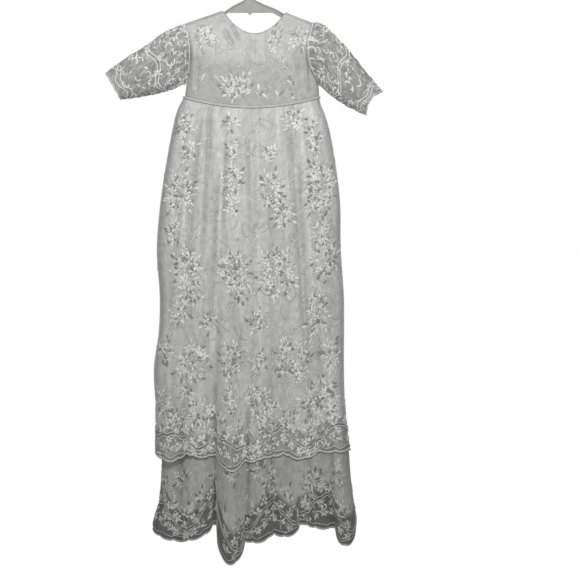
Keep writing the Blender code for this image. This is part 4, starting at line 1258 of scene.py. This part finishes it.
def rings(count, around, closed=False):
    """The quads between rings of points, each with as many points as around says."""
    faces = []
    for i in range(count if closed else count - 1):
        here, there = i * around, (i + 1) % count * around
        for k in range(around):
            m = (k + 1) % around
            faces.append((here + k, here + m, there + m, there + k))
    return faces


BRAID_TOP, BRAID_FOOT, BRAID_LIFT = -0.0018, 0.0026, 0.0012
BRAID_BULGE = 0.0003 * np.array((0.0, 0.8, 1.0, 0.8, 0.0))[:, None]


def braid_grid():
    """The braid over the waist seam: a narrow band, thicker along its middle."""
    across, side = round_columns(SKIRT_COLUMNS)
    drop = np.linspace(BRAID_TOP, BRAID_FOOT, len(BRAID_BULGE))[:, None] + 0 * across[None, :]
    return skirt_grid(across, side, drop, -BRAID_LIFT - BRAID_BULGE, False)


def bead_braid(work, spacing=0.0028):
    """Two rows of small beads along the braid, and a fine cord between them."""
    around = 0.0
    while around < SKIRT_COLUMNS:
        for row in (1.0, 3.0):
            work.bead(around + 0.4 * row, row, 0.0011, 1.0)
        around += spacing / float(work.cloth.cell(np.array(around), np.array(2.0))[0])
    work.cord([(u, 2.0) for u in np.arange(0, SKIRT_COLUMNS + 0.1, 1.0)], 0.0010, 0.0004, 0.6)


braid_cloth = braid_grid()
braid = cloth_object("braid", braid_cloth, SATIN, ["waist_braid"])
braid_work = Stitching(braid_cloth, 61)
bead_braid(braid_work)
braid_beads = braid_work.build("braid_beads", THREAD_BODICE, "braid")

PLACKET_LEFT, PLACKET_RIGHT, PLACKET_FOOT = -0.0010, 0.0270, -0.1930
PLACKET_LIFT, PLACKET_TURNING = 0.0019, 0.0005


def placket_grid(columns=25, rows=60):
    """The band under the buttons, which lies on the seam between the two back panels."""
    c, t = np.meshgrid(np.linspace(0, 1, columns), 1 - np.linspace(0, 1, rows))
    x = PLACKET_LEFT + c * (PLACKET_RIGHT - PLACKET_LEFT)
    share = (x - TIP_LEFT[0]) / (TIP_RIGHT[0] - TIP_LEFT[0])
    z = PLACKET_FOOT + t * (top_z(share) - PLACKET_FOOT)
    left, right = side_edge(z, "left"), side_edge(z, "right")
    depth = bodice_depth((x - (right + left) / 2) / ((right - left) / 2), z, shoulder_z(share) - z)
    turned_edge = PLACKET_TURNING * (bump((c - 0.06) / 0.05) + bump((c - 0.94) / 0.05))
    points = np.stack([x, SEAM + depth + PLACKET_LIFT + turned_edge, z], -1)
    return Cloth(points, False, np.broadcast_to((0.0, 1.0, 0.0), points.shape))


placket_cloth = placket_grid()
placket = cloth_object("button_band", placket_cloth, SATIN, ["back_placket"])

# Pearl buttons: a rounded dome with a raised rim and a dimple, as (share of the radius, share of the depth).
BUTTON_PROFILE = (
    (0.0, 0.30), (0.30, 0.36), (0.52, 0.52), (0.72, 0.60), (0.90, 0.48), (1.0, 0.15), (0.96, -0.15),
    (0.6, -0.42), (0.0, -0.42))
BUTTON_SIDES, BUTTON_DEPTH = 32, 1.6
for name in BUTTONS:
    low, high = (np.array(corner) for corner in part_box(name))
    (x, y, z), (radius, half_thick, _) = (low + high) / 2, (high - low) / 2
    points = []
    for share, lift in BUTTON_PROFILE:
        for angle in AROUND * np.arange(BUTTON_SIDES) / BUTTON_SIDES:
            out = radius * share
            depth = half_thick * lift * BUTTON_DEPTH
            points.append((x + out * math.cos(angle), y + depth, z + out * math.sin(angle)))
    button = mesh_object("pearl_" + name, points, rings(len(BUTTON_PROFILE), BUTTON_SIDES), PEARL)
    on_body(button, [name])


def neck_run(cloth):
    """The part of a panel's top edge that lies along the neck."""
    edge = cloth.points[0]
    return edge[(edge[:, 0] > NECK_LEFT[0] + 0.001) & (edge[:, 0] < NECK_RIGHT[0] - 0.001)]


# The rolled edge of the neck, the seam below the placket, and the ridge of each armhole seam.
EDGE_RADIUS = 0.0009
neck_front = tube("neck_edge_front", neck_run(bodice), EDGE_RADIUS, SATIN)
neck_left = tube("neck_edge_back_left", neck_run(back_left), EDGE_RADIUS, SATIN)
neck_right = tube("neck_edge_back_right", neck_run(back_right), EDGE_RADIUS, SATIN)
split = back_left.points[:, -1]
back_seam = tube("back_seam", split[split[:, 2] < PLACKET_FOOT + 0.006], 0.0008, SATIN)
seam_left, seam_right = (
    tube(name, sleeve.points[1], EDGE_RADIUS, THREAD_SLEEVE, 6, True)
    for name, sleeve in (("armhole_seam_left", left_sleeve), ("armhole_seam_right", right_sleeve)))

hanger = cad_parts["hanger"]
hanger.data.materials.clear()
hanger.data.materials.append(PLASTIC)


# ---- a pass over each sheet of cloth, which keeps nothing
def declare(cloth):
    """Gathers the sheet's points, closing the ring of a closed one, and keeps nothing."""
    p = cloth.points
    if cloth.closed:
        p = np.concatenate([p, p[:, :1]], axis=1)


declare(upper)
declare(lower)
declare(lining)
declare(bodice)
declare(back_left)
declare(back_right)
declare(placket_cloth)
declare(left_sleeve)
declare(right_sleeve)

# ---- floor, light and camera
LOOK_AT = np.array((0.0745, 0.0, -0.6020))
FIELD = 1.077
CAMERA_AWAY = 6.0

FLOOR_REACH, FLOOR_Z = 1.4, -1.55
corners = [(x * FLOOR_REACH, y * FLOOR_REACH, FLOOR_Z) for x, y in ((-1, -1), (1, -1), (1, 1), (-1, 1))]
floor_look, _, _ = node_material("pale_floor", grey(0.8), 0.8)
mesh_object("floor", corners, [(0, 1, 2, 3)], floor_look)


def aim(made, target):
    """Turn a light towards a place."""
    x, y, z = np.array(made.location) - np.array(target)
    made.rotation_euler = (math.atan2(math.hypot(x, y), z), 0, math.atan2(x, -y))


def soft_light(name, place, target, size, power):
    light = bpy.data.lights.new(name, "AREA")
    light.shape, light.size, light.energy = "DISK", size, power
    made = bpy.data.objects.new(name, light)
    made.location = place
    aim(made, target)
    bpy.context.scene.collection.objects.link(made)


soft_light("key", (-0.24, -1.30, 0.50), (0.0, 0.0, -0.28), size=0.45, power=16.2)
soft_light("fill", (1.0, -1.4, 0.1), (0.05, 0.0, -0.25), size=0.8, power=6.5)
soft_light("behind", (0.5, 1.5, 0.5), (0.0, 0.0, -0.5), size=0.8, power=20.0)

# The camera sees a plain white ground, and a softer glow lights the gown.
WHITE, GLOW = (1, 1, 1, 1), 0.33
world = bpy.data.worlds.new("studio")
world.use_nodes = True
bpy.context.scene.world = world
tree = world.node_tree
seen = tree.nodes["Background"]
seen.inputs["Color"].default_value = WHITE
seen.inputs["Strength"].default_value = 1.0
glow = add(tree, "ShaderNodeBackground", Color=WHITE, Strength=GLOW)
path = add(tree, "ShaderNodeLightPath")
choose = add(tree, "ShaderNodeMixShader")
tree.links.new(path.outputs["Is Camera Ray"], choose.inputs["Fac"])
tree.links.new(glow.outputs["Background"], choose.inputs[1])
tree.links.new(seen.outputs["Background"], choose.inputs[2])
tree.links.new(choose.outputs["Shader"], tree.nodes["World Output"].inputs["Surface"])

lens = bpy.data.cameras.new("camera")
lens.sensor_width = 36.0
lens.lens = lens.sensor_width * CAMERA_AWAY / FIELD
camera = bpy.data.objects.new("camera", lens)
camera.location = LOOK_AT - np.array((0.0, CAMERA_AWAY, 0.0))
camera.rotation_euler = (math.pi / 2, 0, 0)
bpy.context.scene.collection.objects.link(camera)
bpy.context.scene.camera = camera
bpy.context.scene.view_settings.view_transform = "Standard"
